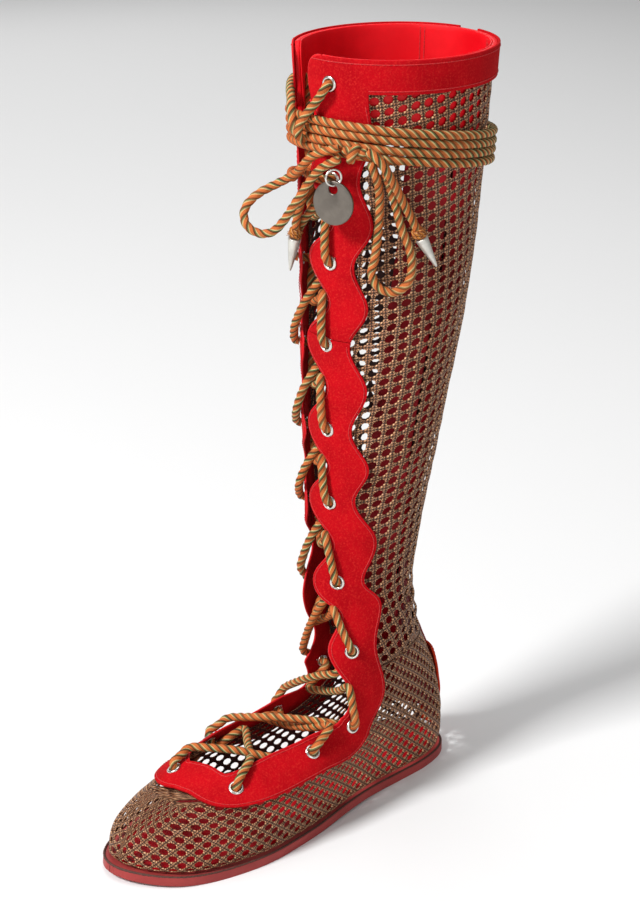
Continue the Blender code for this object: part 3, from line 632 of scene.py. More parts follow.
@dataclass(frozen=True)
class RopeCord:
    """Twisted cord whose strands carry a cream and a green thread between orange ones."""

    name: str
    strands: int = 3
    orange: tuple[float, float, float] = (0.60, 0.15, 0.034)
    gold: tuple[float, float, float] = (0.62, 0.27, 0.07)
    cream: tuple[float, float, float] = (0.84, 0.66, 0.34)
    green: tuple[float, float, float] = (0.055, 0.17, 0.055)
    # shade: the painted shade colour for the grooves and the gaps between yarns
    shade: tuple[float, float, float] = (0.075, 0.02, 0.007)

    def make(self) -> bpy.types.Material:
        """Stripes that follow the twist, with fine fibres along them and painted shade in the
        grooves between strands and between yarns.
        """
        graph = Graph(self.name, self.orange, 0.8, Specular_IOR_Level=0.2)
        turn, lay = graph.lay()
        phase = ((turn - lay) * self.strands + 0.5).fraction()
        yarn = ((turn - lay) * (self.strands * 5) + 0.3).fraction()
        fibre = graph.noise(1500, 3, 0.7)
        # both ends of the ramp hold painted shade in the groove between strands
        color = graph.ramp(phase, (0.0, self.shade), (0.07, self.shade), (0.15, self.orange),
                           (0.50, self.orange), (0.57, self.gold), (0.62, self.cream),
                           (0.68, self.cream), (0.73, self.green), (0.84, self.green),
                           (0.93, self.shade), (1.0, self.shade))
        # painted shade between the yarns
        color = graph.mix((1.0 - yarn.ridge(0.5, 0.5)) ** 2 * 0.55, color, self.shade)
        color = graph.mix(fibre.step(0.5, 0.8) * 0.35, color, self.gold)
        color = graph.mix(graph.noise(60, 2).step(0.35, 0.75) * 0.3, color,
                          (0.62, 0.16, 0.045))
        bump = yarn.ridge(0.5, 0.5) * 0.7 + fibre * 0.5
        return graph.finish(color, 0.6 + fibre * 0.25, bump, 0.22, 0.8)


@dataclass(frozen=True)
class NetCord:
    """Crocheted cord with a metallic thread, coloured with painted highlights and painted shade."""

    name: str
    # painted highlight: the light colour laid on the knobs near each hole's edge
    bright: tuple[float, float, float] = (0.98, 0.62, 0.34)
    middle: tuple[float, float, float] = (0.36, 0.13, 0.05)
    rose: tuple[float, float, float] = (0.62, 0.33, 0.22)
    # gap: near-black painted shade between the knobs and down each rib's middle
    gap: tuple[float, float, float] = (0.022, 0.009, 0.004)

    def make(self) -> bpy.types.Material:
        """Knobs with a painted highlight near the holes' edges and painted shade between them and
        along each rib's middle, changing along the rows.
        """
        graph = Graph(self.name, self.middle, 0.5, 0.25)
        first, second = graph.lay()
        across = (first - (first + 0.5).whole()).size()
        up = (second - (second + 0.5).whole()).size()
        run = (up - across).step(-0.001, 0.001)
        side = across.least(up)
        stitch = ((second * run + first * (1.0 - run)) * 4.0 + side * 3.5).fraction()
        stitch = stitch.ridge(0.5, 0.5)
        # ring: a band near each hole's edge that carries the painted highlight
        ring = side.ridge(0.105, 0.07)
        # painted shade mask along the middle of each rib
        rib_crease_shade = 1.0 - side.step(0.012, 0.045)
        tone = graph.noise(520, 2, 0.6).step(0.38, 0.62)
        # painted highlight on the knobs inside that band
        color = graph.mix(ring * stitch * (tone * 0.6 + 0.4), self.middle, self.bright)
        color = graph.mix(graph.noise(150, 3, 0.6).step(0.5, 0.66) * 0.3, color, self.rose)
        # painted shade between the knobs
        color = graph.mix((1.0 - stitch) * (1.0 - ring * 0.45) * 0.95, color, self.gap)
        # painted shade down the middle of each rib
        color = graph.mix(rib_crease_shade * 0.8, color, self.gap)
        bump = stitch * 0.8 + ring * 0.4 + tone * 0.2
        return graph.finish(color, 0.42 + tone * 0.2, bump, 0.5, 1.0)


@dataclass(frozen=True)
class Woven:
    """Plain fine thread or tape."""

    name: str
    color: tuple[float, float, float]
    dark: tuple[float, float, float]
    per_metre: float = 1600.0

    def make(self) -> bpy.types.Material:
        """Fine ribs."""
        graph = Graph(self.name, self.color, 0.75)
        rib = graph.noise(self.per_metre, 2, 0.5)
        return graph.finish(graph.mix(rib.step(0.35, 0.65), self.dark, self.color), None, rib,
                            0.15, 0.6)


@dataclass(frozen=True)
class StudioFloor:
    """Plain pale paper."""

    name: str
    color: tuple[float, float, float] = (0.80, 0.80, 0.80)

    def make(self) -> bpy.types.Material:
        """Even paper with the faintest cloud."""
        graph = Graph(self.name, self.color, 0.9)
        dim = tuple(0.985 * part for part in self.color)
        return graph.finish(graph.mix(graph.noise(2.0), dim, self.color))


# ---------------------------------------------------------------- mesh making


@dataclass
class Workshop:
    """What every sub-assembly shares: the last, the eyelet line, materials and the log."""

    last: Last
    line: EyeletLine
    finishes: dict[str, bpy.types.Material]

    def piece(self, name: str, bm: bmesh.types.BMesh, finish: str, slot: Slot,
              body: Body = Body.BOOT, stands_for: Sequence[str] = ()) -> bpy.types.Object:
        """Turn a bmesh in metres into a piece of the boot.

        Args:
            name: The piece's name.
            bm: The mesh, which is freed.
            finish: The finish it wears.
            slot: The record's material slot; not used.
            body: The body it rides on.
            stands_for: CAD nodes that it stands for.

        Returns:
            The piece.
        """
        mesh = bpy.data.meshes.new(name)
        bm.to_mesh(mesh)
        bm.free()
        for face in mesh.polygons:
            face.use_smooth = True
        mesh.materials.append(self.finishes[finish])
        piece = bpy.data.objects.new(name, mesh)
        bpy.context.scene.collection.objects.link(piece)
        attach(piece, body.value)
        if stands_for:
            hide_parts(*stands_for)
        log.info("%s: %d faces", name, len(mesh.polygons))
        return piece

    @staticmethod
    def thicken(piece: bpy.types.Object, thickness: float, side: float, bevel: float = 0.0,
                smooth: int = 0) -> None:
        """Give a sheet its thickness.

        Args:
            piece: The sheet.
            thickness: Thickness in millimetres.
            side: 1 along the normals, -1 against them, 0 both ways.
            bevel: Rounding of its rims in millimetres.
            smooth: Subdivision levels.
        """
        wall = piece.modifiers.new("Wall", "SOLIDIFY")
        wall.thickness = thickness * MM
        wall.offset = side
        wall.use_even_offset = False
        if bevel:
            rim = piece.modifiers.new("Rim", "BEVEL")
            rim.width = bevel * MM
            rim.segments = 2
            rim.limit_method = "ANGLE"
            rim.angle_limit = math.radians(50)
        if smooth:
            round_off = piece.modifiers.new("Round", "SUBSURF")
            round_off.levels = round_off.render_levels = smooth


def grid(columns: int, rows: int, mapper: Mapper, bm: bmesh.types.BMesh | None = None,
         scale: tuple[float, float] = (1.0, 1.0), flip: bool = False) -> bmesh.types.BMesh:
    """A sheet of quads shaped by a function of two shares.

    Args:
        columns: Faces across.
        rows: Faces up.
        mapper: Takes each vertex's shares across and up, gives its place in millimetres.
        bm: A mesh to add to.
        scale: What the UV map counts to across and up.
        flip: Turn the faces over.

    Returns:
        The mesh in metres.
    """
    bm = bm or bmesh.new()
    made = bmesh.ops.create_grid(bm, x_segments=columns, y_segments=rows, size=0.5)["verts"]
    lay = bm.loops.layers.uv.get("lay") or bm.loops.layers.uv.new("lay")
    flat = np.array([vert.co[:2] for vert in made]) + 0.5
    shares = {vert: share for vert, share in zip(made, flat)}
    faces = {face for vert in made for face in vert.link_faces}
    for face in faces:
        for loop in face.loops:
            across, up = shares[loop.vert]
            loop[lay].uv = (across * scale[0], up * scale[1])
    for vert, point in zip(made, mapper(flat[:, 0], flat[:, 1])):
        vert.co = Vector(point) * MM
    if flip:
        bmesh.ops.reverse_faces(bm, faces=list(faces))
    return bm


def weld(bm: bmesh.types.BMesh, distance: float = 0.02) -> None:
    """Merge vertices closer than a distance in millimetres and drop slivers."""
    bmesh.ops.remove_doubles(bm, verts=bm.verts, dist=distance * MM)
    bmesh.ops.dissolve_degenerate(bm, edges=bm.edges, dist=distance * MM * 0.5)


def open_holes(bm: bmesh.types.BMesh, centres: Array, radius: float) -> None:
    """Delete the faces of a sheet near points in millimetres."""
    doomed = []
    for face in bm.faces:
        middle = np.array(face.calc_center_median()) / MM
        if np.linalg.norm(centres - middle, axis=1).min() < radius:
            doomed.append(face)
    bmesh.ops.delete(bm, geom=doomed, context="FACES")


def frames(points: Array) -> tuple[Array, Array]:
    """Two steady unit vectors across a line at each of its points."""
    way = unit(np.gradient(points, axis=0))
    first = np.zeros_like(points)
    seed = np.cross(way[0], (0.0, 0.0, 1.0))
    if np.linalg.norm(seed) < 0.2:
        seed = np.cross(way[0], (0.0, 1.0, 0.0))
    first[0] = unit(seed)
    for i in range(1, len(points)):
        turned = first[i - 1] - way[i] * np.dot(first[i - 1], way[i])
        first[i] = unit(turned)
    return first, np.cross(way, first)


@dataclass(frozen=True)
class Rope:
    """A twisted cord that follows a line."""

    radius: float = 2.5
    strands: int = 3
    groove: float = 0.17
    pitch: float = 16.0
    spacing: float = 1.25
    sides: int = 15
    end_wide: float = 0.82
    neck_wide: float = 0.96

    def mesh(self, route: Array, bm: bmesh.types.BMesh | None = None) -> bmesh.types.BMesh:
        """Make the cord.

        Args:
            route: Points of its centreline in millimetres, closely spaced.
            bm: A mesh to add to.

        Returns:
            The mesh, with the UV map that its finish follows.
        """
        line = resampled(route, self.spacing)
        first, second = frames(line)
        count = len(line) - 1
        turns = count * self.spacing / self.pitch

        def place(across: Array, up: Array) -> Array:
            """Vertex places round and along the cord."""
            i = np.rint(up * count).astype(int)
            angle = 2 * np.pi * across
            lobe = np.abs(np.sin(self.strands * (angle / 2 - np.pi * up * turns)))
            wide = self.radius * (1 - self.groove * (1 - lobe) ** 1.5 * 1.6)
            near = np.minimum(i, count - i)
            wide = wide * np.where(near == 0, self.end_wide, np.where(near == 1, self.neck_wide, 1))
            return (line[i] + first[i] * (np.cos(angle) * wide)[:, None]
                    + second[i] * (np.sin(angle) * wide)[:, None])

        bm = grid(self.sides, count, place, bm, scale=(1.0, turns))
        weld(bm, 0.01)
        rims = [edge for edge in bm.edges if edge.is_boundary]
        bmesh.ops.holes_fill(bm, edges=rims, sides=0)
        bmesh.ops.recalc_face_normals(bm, faces=bm.faces)
        return bm


def smooth_route(points: Sequence[Sequence[float]], spacing: float = 1.25) -> Array:
    """Closely spaced points on a smooth curve through given ones."""
    return resampled(curve_through(np.array(points, float), 16), spacing)


# ---------------------------------------------------------------- net


@dataclass
class Net:
    """The openwork of the shaft and the foot."""

    shop: Workshop
    shaft_pitch: float = 7.3
    shaft_rise: float = 6.4
    shaft_lean: float = 0.19
    foot_columns: int = 58
    foot_rise: float = 7.8
    joint_level: float = 0.225
    top_level: float = 0.984
    low_level: float = 0.004
    middle_depth: float = 0.9
    upright: float = 0.66
    thickness: float = 1.05
    rib: float = 0.95
    foot_rib: float = 0.78
    least_side: float = 2.8
    least_cell: float = 13.0
    knot_rise: float = 0.5
    ankle_crease: tuple[float, float, float] = (0.285, 0.055, 1.25)
    heel_crease: tuple[float, float, float] = (0.14, 0.05, 0.35)
    ripple: float = 0.22

    def build(self) -> None:
        """Make the two halves of the shaft and the foot."""
        for side in Side:
            bm = self._shaft(side)
            self._finish(f"net_shaft_{side.word}", bm, self.rib,
                         ("upper",) if side is Side.OUTER else ())
        self._finish("net_foot", self._foot(), self.foot_rib, ())

    def _finish(self, name: str, bm: bmesh.types.BMesh, rib: float,
                stands_for: Sequence[str]) -> None:
        """Open the holes, place the knots and make the piece, with its inside face near-black as
        painted shade.
        """
        self._open(bm, rib)
        piece = self.shop.piece(name, bm, "net", Slot.NET, stands_for=stands_for)
        # Second material for the solidified inner shell: near-black painted shade of the boot's
        # inside, not the yarn's own colour.
        piece.data.materials.append(self.shop.finishes["net_inside"])
        self.shop.thicken(piece, self.thickness, 0.0, smooth=1)
        piece.modifiers["Wall"].material_offset = 1

    def _open(self, bm: bmesh.types.BMesh, rib: float) -> None:
        """Leave a rim of cord in every cell and push the crossings out."""
        slivers = [face for face in bm.faces if face.calc_area() < MM * MM]
        bmesh.ops.delete(bm, geom=slivers, context="FACES")
        weld(bm, 0.9)
        crossings = list(bm.verts)
        cells = [face for face in bm.faces
                 if min(edge.calc_length() for edge in face.edges) > self.least_side * MM
                 and face.calc_area() > self.least_cell * MM * MM]
        bmesh.ops.inset_individual(bm, faces=cells, thickness=rib * MM,
                                   use_even_offset=False)
        bmesh.ops.delete(bm, geom=cells, context="FACES")
        spare = [vert for vert in bm.verts if not vert.link_faces]
        bmesh.ops.delete(bm, geom=spare, context="VERTS")
        bm.normal_update()
        for number, vert in enumerate(crossings):
            if vert.is_valid:
                vert.co += vert.normal * (self.knot_rise * MM * (0.6 + 0.4 * math.sin(number)))

    def _crease(self, around: Array, level: Array) -> Array:
        """How far the slack net stands out from the last, in millimetres.

        Args:
            around: Shares of the way round.
            level: Levels up the last.

        Returns:
            Heights; each crease is given by its level, its spread in levels and its height.
        """
        ankle_level, ankle_spread, ankle_height = self.ankle_crease
        heel_level, heel_spread, heel_height = self.heel_crease
        ankle = np.exp(-((level - ankle_level) / ankle_spread) ** 2)
        heel = np.exp(-((level - heel_level) / heel_spread) ** 2)
        folds = np.sin(2 * np.pi * (level / 0.036 + 1.1 * np.sin(2 * np.pi * around) + around * 3))
        drape = np.sin(2 * np.pi * (around * 9 + level * 7))
        fine = np.sin(around * 91 + level * 57) * np.sin(around * 37 - level * 113)
        return ankle_height * ankle * folds + heel_height * heel * drape + self.ripple * fine

    def _place(self, around: Array, level: Array) -> Array:
        """Points of the net's middle layer."""
        height = self._crease(around, level) - self.middle_depth
        return self.shop.last.over(around, level, height)

    def _front(self, side: Side, level: Array) -> Array:
        """Around of the net's front edge at levels above its lowest point."""
        edge = self.shop.line.net_edge(side)
        return np.interp(level, edge[:, 1], edge[:, 0])

    def _shaft(self, side: Side) -> bmesh.types.BMesh:
        """One half of the shaft's net, in rows that drop toward the front."""
        last = self.shop.last
        levels = np.linspace(self.joint_level, self.top_level, 200)
        heights = last.points(0.25, levels)[:, 2]
        shares = np.linspace(0.0, 0.52, 261)
        rings = [lengths(last.points(side.value * shares, level)) for level in levels]
        fronts = self._front(side, levels)
        fronts = fronts if side is Side.OUTER else 1 - fronts
        reach = np.array([np.interp(front, shares, ring) for front, ring in zip(fronts, rings)])
        tall, wide = heights[-1] - heights[0], reach.max()
        cos, sin = math.cos(self.shaft_lean), math.sin(self.shaft_lean)
        before = math.ceil(tall * sin / self.shaft_pitch)
        columns = before + math.ceil(wide * cos / self.shaft_pitch)
        rows = math.ceil((tall * cos + wide * sin) / self.shaft_rise)

        def place(across: Array, up: Array) -> Array:
            """Vertices of a leaning lattice, stopped at the seam, the joint and the collar."""
            j, i = np.rint(across * columns) - before, np.rint(up * rows)
            u = j * self.shaft_pitch + 0.4 * np.sin(i * 1.7 + j * 0.9)
            v = i * self.shaft_rise + 0.35 * np.sin(i * 2.1 + j * 1.3)
            height = np.clip(heights[0] + v * cos - u * sin, heights[0], heights[-1])
            level = np.interp(height, heights, levels)
            k = np.rint(np.interp(level, levels, np.arange(len(levels)))).astype(int)
            along = np.clip(u * cos + v * sin, 0, reach[k])
            around = np.array([np.interp(s, rings[n], shares) for s, n in zip(along, k)])
            return self._place(side.value * around, level)

        return grid(columns, rows, place, scale=(columns, rows), flip=side is Side.OUTER)

    def _foot(self) -> bmesh.types.BMesh:
        """The foot's net, in diamonds level with the sole."""
        last, line = self.shop.last, self.shop.line
        arounds = np.linspace(0, 1, 241)
        levels = np.linspace(self.low_level, self.joint_level, 121)
        climb = np.array([lengths(last.points(around, levels)) for around in arounds])
        rows = math.ceil(climb[:, -1].max() / self.foot_rise)
        size = self.foot_columns + rows
        outer, inner = line.net_edge(Side.OUTER), line.net_edge(Side.INNER)
        bottom = max(outer[0, 1], inner[0, 1])
        edge = np.vstack([outer, inner])
        edge_points = last.points(edge[:, 0], edge[:, 1])

        def inside(across: Array, level: Array) -> Array:
            """Whether spots lie in the throat, past the net's edge."""
            start = np.interp(level, inner[:, 1], inner[:, 0])
            end = np.interp(level, outer[:, 1], outer[:, 0])
            return (level > bottom) & (across > end) & (across < start)

        bm = bmesh.new()
        made = bmesh.ops.create_grid(bm, x_segments=size, y_segments=size, size=0.5)["verts"]
        flat = (np.array([vert.co[:2] for vert in made]) + 0.5) * size
        lay = bm.loops.layers.uv.new("lay")
        index = {vert: i for i, vert in enumerate(made)}
        for face in bm.faces:
            for loop in face.loops:
                loop[lay].uv = flat[index[loop.vert]]
        across = (flat.sum(1) - rows) / 2 / self.foot_columns
        up = (flat[:, 1] - flat[:, 0] + rows) / 2 * self.foot_rise
        nearest = np.rint(np.clip(across, 0, 1) * (len(arounds) - 1)).astype(int)
        level = np.array([np.interp(h, climb[k], levels) for h, k in zip(up, nearest)])
        out = (across < 0) | (across > 1) | (up < 0) | (up > climb[nearest, -1])
        across = self._upright(np.clip(across, 0, 1), level)
        doomed = []
        for face in bm.faces:
            corners = [index[vert] for vert in face.verts]
            if out[corners].all() or inside(across[corners].mean(), level[corners].mean()):
                doomed.append(face)
        bmesh.ops.delete(bm, geom=doomed, context="FACES")
        for i in np.nonzero(inside(across, level))[0]:
            here = last.points(across[i], level[i])
            spot = int(np.argmin(np.linalg.norm(edge_points - here, axis=1)))
            across[i], level[i] = edge[spot]
        kept = [vert for vert in made if vert.is_valid]
        chosen = [index[vert] for vert in kept]
        for vert, point in zip(kept, self._place(across[chosen], level[chosen])):
            vert.co = Vector(point) * MM
        bmesh.ops.reverse_faces(bm, faces=bm.faces)
        return bm

    def _upright(self, around: Array, level: Array) -> Array:
        """Around of columns that stand nearly upright over their place on the sole."""
        last = self.shop.last
        foot = last.points(around, np.zeros_like(level))[:, 1]
        here = last.points(around, level)[:, 1]
        shares = np.linspace(0.0, 0.5, 121)
        moved = around.copy()
        for i, (a, v) in enumerate(zip(around, level)):
            half = shares if a <= 0.5 else 1 - shares
            ys = last.points(half, v)[:, 1]
            goal = self.upright * min(max(foot[i], ys[-1]), ys[0]) + (1 - self.upright) * here[i]
            moved[i] = np.interp(-goal, -ys, half)
        return moved


# ---------------------------------------------------------------- suede facing and collar


@dataclass
class Suedework:
    """Scalloped facing, collar halves, their stitching and the collar's lining."""

    shop: Workshop
    gap: float = 1.0
    thick: float = 1.4
    seam_place: float = 8.07
    leg_top_place: float = 10.8
    band_bottom: float = 0.968
    band_top: float = 1.0
    back_gap: float = 6.0
    flap_round: float = 10.0
    band_length: float = 300.0
    eyelet_clearance: float = 3.55
    stitch_inset: float = 1.5
    stitch_pitch: float = 2.9
    band_insets: tuple[float, float] = (0.004, 0.0035)
    rim_radius: float = 0.62
    lining_levels: tuple[float, float] = (0.925, 0.9985)
    lining_height: float = -2.9
    lining_thick: float = 0.9
    lining_behind: float = 0.004
    lining_columns: int = 150
    core_levels: tuple[float, float] = (0.9855, 0.93)
    core_height: float = -1.9
    core_thick: float = 2.8
    core_share: float = 0.012
    lining_seams: tuple[float, float] = (0.085, 0.915)

    def build(self) -> None:
        """Make every suede piece in front, its stitches and rims."""
        self._facing()
        for side in Side:
            self._collar(side)
        self._lining()
        self._stitches()
        self._rims()

    def _eyelets(self) -> Array:
        """Points of all eyelets on the middle of the suede."""
        place = np.array([i * side.value for side in Side for i in range(1, len(EYELETS))])
        return self.shop.last.over(*self.shop.line.spots(place), self.gap + self.thick / 2)

    def _wave(self, around: Array, level: Array) -> Array:
        """How far the soft suede lifts off the net, in millimetres."""
        return 0.35 * np.sin(around * 41 + level * 19) * np.sin(level * 67 - around * 13) + 0.35

    def _facing(self) -> None:
        """The facing from the outer seam round the vamp to the inner seam."""
        rows = 2 * round(self.seam_place * 22)

        def place(across: Array, up: Array) -> Array:
            """Rows across the facing, each from the throat to the outer edge."""
            around, level = self.shop.line.facing((2 * up - 1) * self.seam_place, across)
            return self.shop.last.over(around, level, self.gap + self._wave(around, level))

        bm = grid(16, rows, place)
        open_holes(bm, self._eyelets(), self.eyelet_clearance)
        piece = self.shop.piece("facing_suede", bm, "suede", Slot.SUEDE, stands_for=("facing",))
        self.shop.thicken(piece, self.thick, 1.0, bevel=0.4)

    def _collar(self, side: Side) -> None:
        """One collar half: the leg over the facing's end, the flap and the band to the back."""
        last, line = self.shop.last, self.shop.line
        columns, sign = 14, side.value

        def leg(across: Array, up: Array) -> Array:
            """Rows with the facing's own outline."""
            low = self.seam_place + 0.002
            around, level = line.facing(sign * (low + (self.leg_top_place - low) * up), across)
            points = last.over(around, level, self.gap)
            top = up > 1 - 1e-6
            if top.any():
                points[top] = self._band(side, across[top], np.zeros(int(top.sum())), True)
            return points

        bm = grid(columns, round((self.leg_top_place - self.seam_place) * 22), leg,
                  flip=side is Side.INNER)
        for front, count in ((True, columns), (False, 70)):
            grid(count, 10, lambda across, up, front=front: self._band(side, across, up, front),
                 bm, flip=side is Side.INNER)
        weld(bm, 0.05)
        open_holes(bm, self._eyelets(), self.eyelet_clearance)
        name = f"collar_{side.word}"
        piece = self.shop.piece(f"{name}_suede", bm, "suede", Slot.SUEDE, stands_for=(name,))
        self.shop.thicken(piece, self.thick, 1.0, bevel=0.4)

    def _band_ends(self, side: Side) -> tuple[float, float, float]:
        """Around of the flap's front edge, of the leg's outer edge and of the back."""
        place = np.array([side.value * self.leg_top_place])
        front = float(self.shop.line.facing(place, np.zeros(1))[0][0])
        leg = float(self.shop.line.facing(place, np.ones(1))[0][0])
        back = self.back_gap / self.band_length
        return front, leg, back if side is Side.OUTER else 1 - back

    def _band(self, side: Side, across: Array, up: Array, front_part: bool) -> Array:
        """Points of the band: the part over the leg, or the part behind it."""
        front, leg, back = self._band_ends(side)
        level = self.band_bottom + (self.band_top - self.band_bottom) * up
        start = front - side.value * self._rounding(up)
        around = start + (leg - start) * across if front_part else leg + (back - leg) * across
        return self.shop.last.over(around, level, self.gap)

    def _rounding(self, up: Array) -> Array:
        """How much of the way round a flap's front edge draws back toward its round corner."""
        up = np.clip(up, 0, 1)
        return self.flap_round * (1 - np.sqrt(np.maximum(1 - up ** 4, 0))) / self.band_length

    def _lining(self) -> None:
        """Leather inside the collar, and the core that fills its top and front edges."""
        last = self.shop.last
        outer = self._band_ends(Side.OUTER)[0] - self.lining_behind
        inner = self._band_ends(Side.INNER)[0] - 1 + self.lining_behind
        top = self.lining_levels[1]
        tall = self.band_top - self.band_bottom

        def sheet(low: float, height: float, part: tuple[float, float] = (0.0, 1.0)) -> Mapper:
            """A band round the inside, or the part of it between two shares of the way."""

            def place(across: Array, up: Array) -> Array:
                """Rows round the inside, drawn back where the flaps' corners are round."""
                level = low + (top - low) * up
                pull = self._rounding((level - self.band_bottom) / tall)
                share = part[0] + (part[1] - part[0]) * across
                around = inner + pull + (outer - inner - 2 * pull) * share
                return last.over(around % 1.0, level, height)

            return place

        bm = grid(self.lining_columns, 14, sheet(self.lining_levels[0], self.lining_height),
                  flip=True)
        piece = self.shop.piece("collar_lining", bm, "lining", Slot.LINING)
        self.shop.thicken(piece, self.lining_thick, 1.0, bevel=0.3)
        top_low, front_low = self.core_levels
        bm = grid(self.lining_columns, 3, sheet(top_low, self.core_height), flip=True)
        for part in ((0.0, self.core_share), (1 - self.core_share, 1.0)):
            grid(2, 14, sheet(front_low, self.core_height, part), bm, flip=True)
        piece = self.shop.piece("collar_core", bm, "lining", Slot.LINING)
        self.shop.thicken(piece, self.core_thick, 1.0, bevel=0.5)
        thread = Thread(pitch=self.stitch_pitch)
        bm = bmesh.new()
        level = np.linspace(0.928, 0.996, 40)
        for around in self.lining_seams:
            normals = last.normals(around, level)
            for shift in (-0.004, 0.004):
                thread.mesh(last.over(around + shift, level, self.lining_height - 0.05),
                            normals, bm)
        self.shop.piece("lining_seam", bm, "thread", Slot.LINING)

    def _edge_lines(self) -> list[tuple[Array, Array]]:
        """Around and level along every stitched edge."""
        lines = []
        places = np.linspace(-self.seam_place + 0.05, self.seam_place - 0.05, 900)
        for sign in (1, -1):
            lines.append(self._inset(places, sign))
        for side in Side:
            legs = side.value * np.linspace(self.seam_place + 0.06, self.leg_top_place, 160)
            for sign in (1, -1):
                lines.append(self._inset(legs, sign))
            front, leg, back = self._band_ends(side)
            around = np.linspace(front - side.value * 0.012, back, 300)
            lines.append((around, np.full(300, self.band_top - self.band_insets[0])))
            around = np.linspace(leg, back, 240)
            lines.append((around, np.full(240, self.band_bottom + self.band_insets[1])))
        return lines

    def _inset(self, places: Array, sign: int) -> tuple[Array, Array]:
        """Around and level a stitch inset in from the throat edge (1) or the outer edge (-1)."""
        line = self.shop.line
        around, level = line.spots(places)
        toward, away = line.reach(places)
        distance = toward - self.stitch_inset if sign > 0 else self.stitch_inset - away
        return self.shop.last.shifted(around, level, line.across(places), distance)

    def _stitches(self) -> None:
        """Thread that dips in and out beside every edge."""
        thread = Thread(pitch=self.stitch_pitch)
        bm = bmesh.new()
        for around, level in self._edge_lines():
            lift = self._wave(around, level) * (level < 0.78)
            points = self.shop.last.over(around, level, self.gap + self.thick + lift - 0.02)
            thread.mesh(points, self.shop.last.normals(around, level), bm)
        self.shop.piece("edge_stitches", bm, "thread", Slot.SUEDE)

    def _rims(self) -> None:
        """Throat-side edge of the facing and the flaps, coloured brighter than the suede as a
        painted highlight.
        """
        rope = Rope(radius=self.rim_radius, groove=0.0, spacing=1.6, sides=8)
        bm = bmesh.new()
        places = np.linspace(-self.leg_top_place, self.leg_top_place, 1500)
        around, level = self.shop.line.facing(places, np.zeros(len(places)))
        lift = self._wave(around, level) * (np.abs(places) < self.seam_place)
        points = self.shop.last.over(around, level, self.gap + self.thick / 2 + lift)
        rope.mesh(points, bm)
        for side in Side:
            up = np.linspace(0, 1, 60)
            rope.mesh(self._band(side, np.zeros(60), up, True)
                      + self.shop.last.normals(np.full(60, self._band_ends(side)[0]), up * 0
                                               + 0.98) * self.thick / 2, bm)
        self.shop.piece("throat_rim", bm, "rim", Slot.SUEDE)


@dataclass(frozen=True)
class Thread:
    """A line of stitches."""

    pitch: float = 2.9
    radius: float = 0.27
    dip: float = 0.34
    spacing: float = 0.72

    def mesh(self, points: Array, normals: Array, bm: bmesh.types.BMesh) -> None:
        """Add the stitches.

        Args:
            points: Points on the surface in millimetres.
            normals: The surface's normals there.
            bm: The mesh to add to.
        """
        both = resampled(np.hstack([points, normals * 0.001]), self.spacing)
        line, normal = both[:, :3], unit(both[:, 3:])
        wave = np.cos(2 * np.pi * lengths(line) / self.pitch)
        line = line + normal * (0.5 * self.dip * (wave + np.abs(wave) * 0.4))[:, None]
        Rope(radius=self.radius, groove=0.0, spacing=self.spacing, sides=5).mesh(line, bm)


# ---------------------------------------------------------------- back of the boot


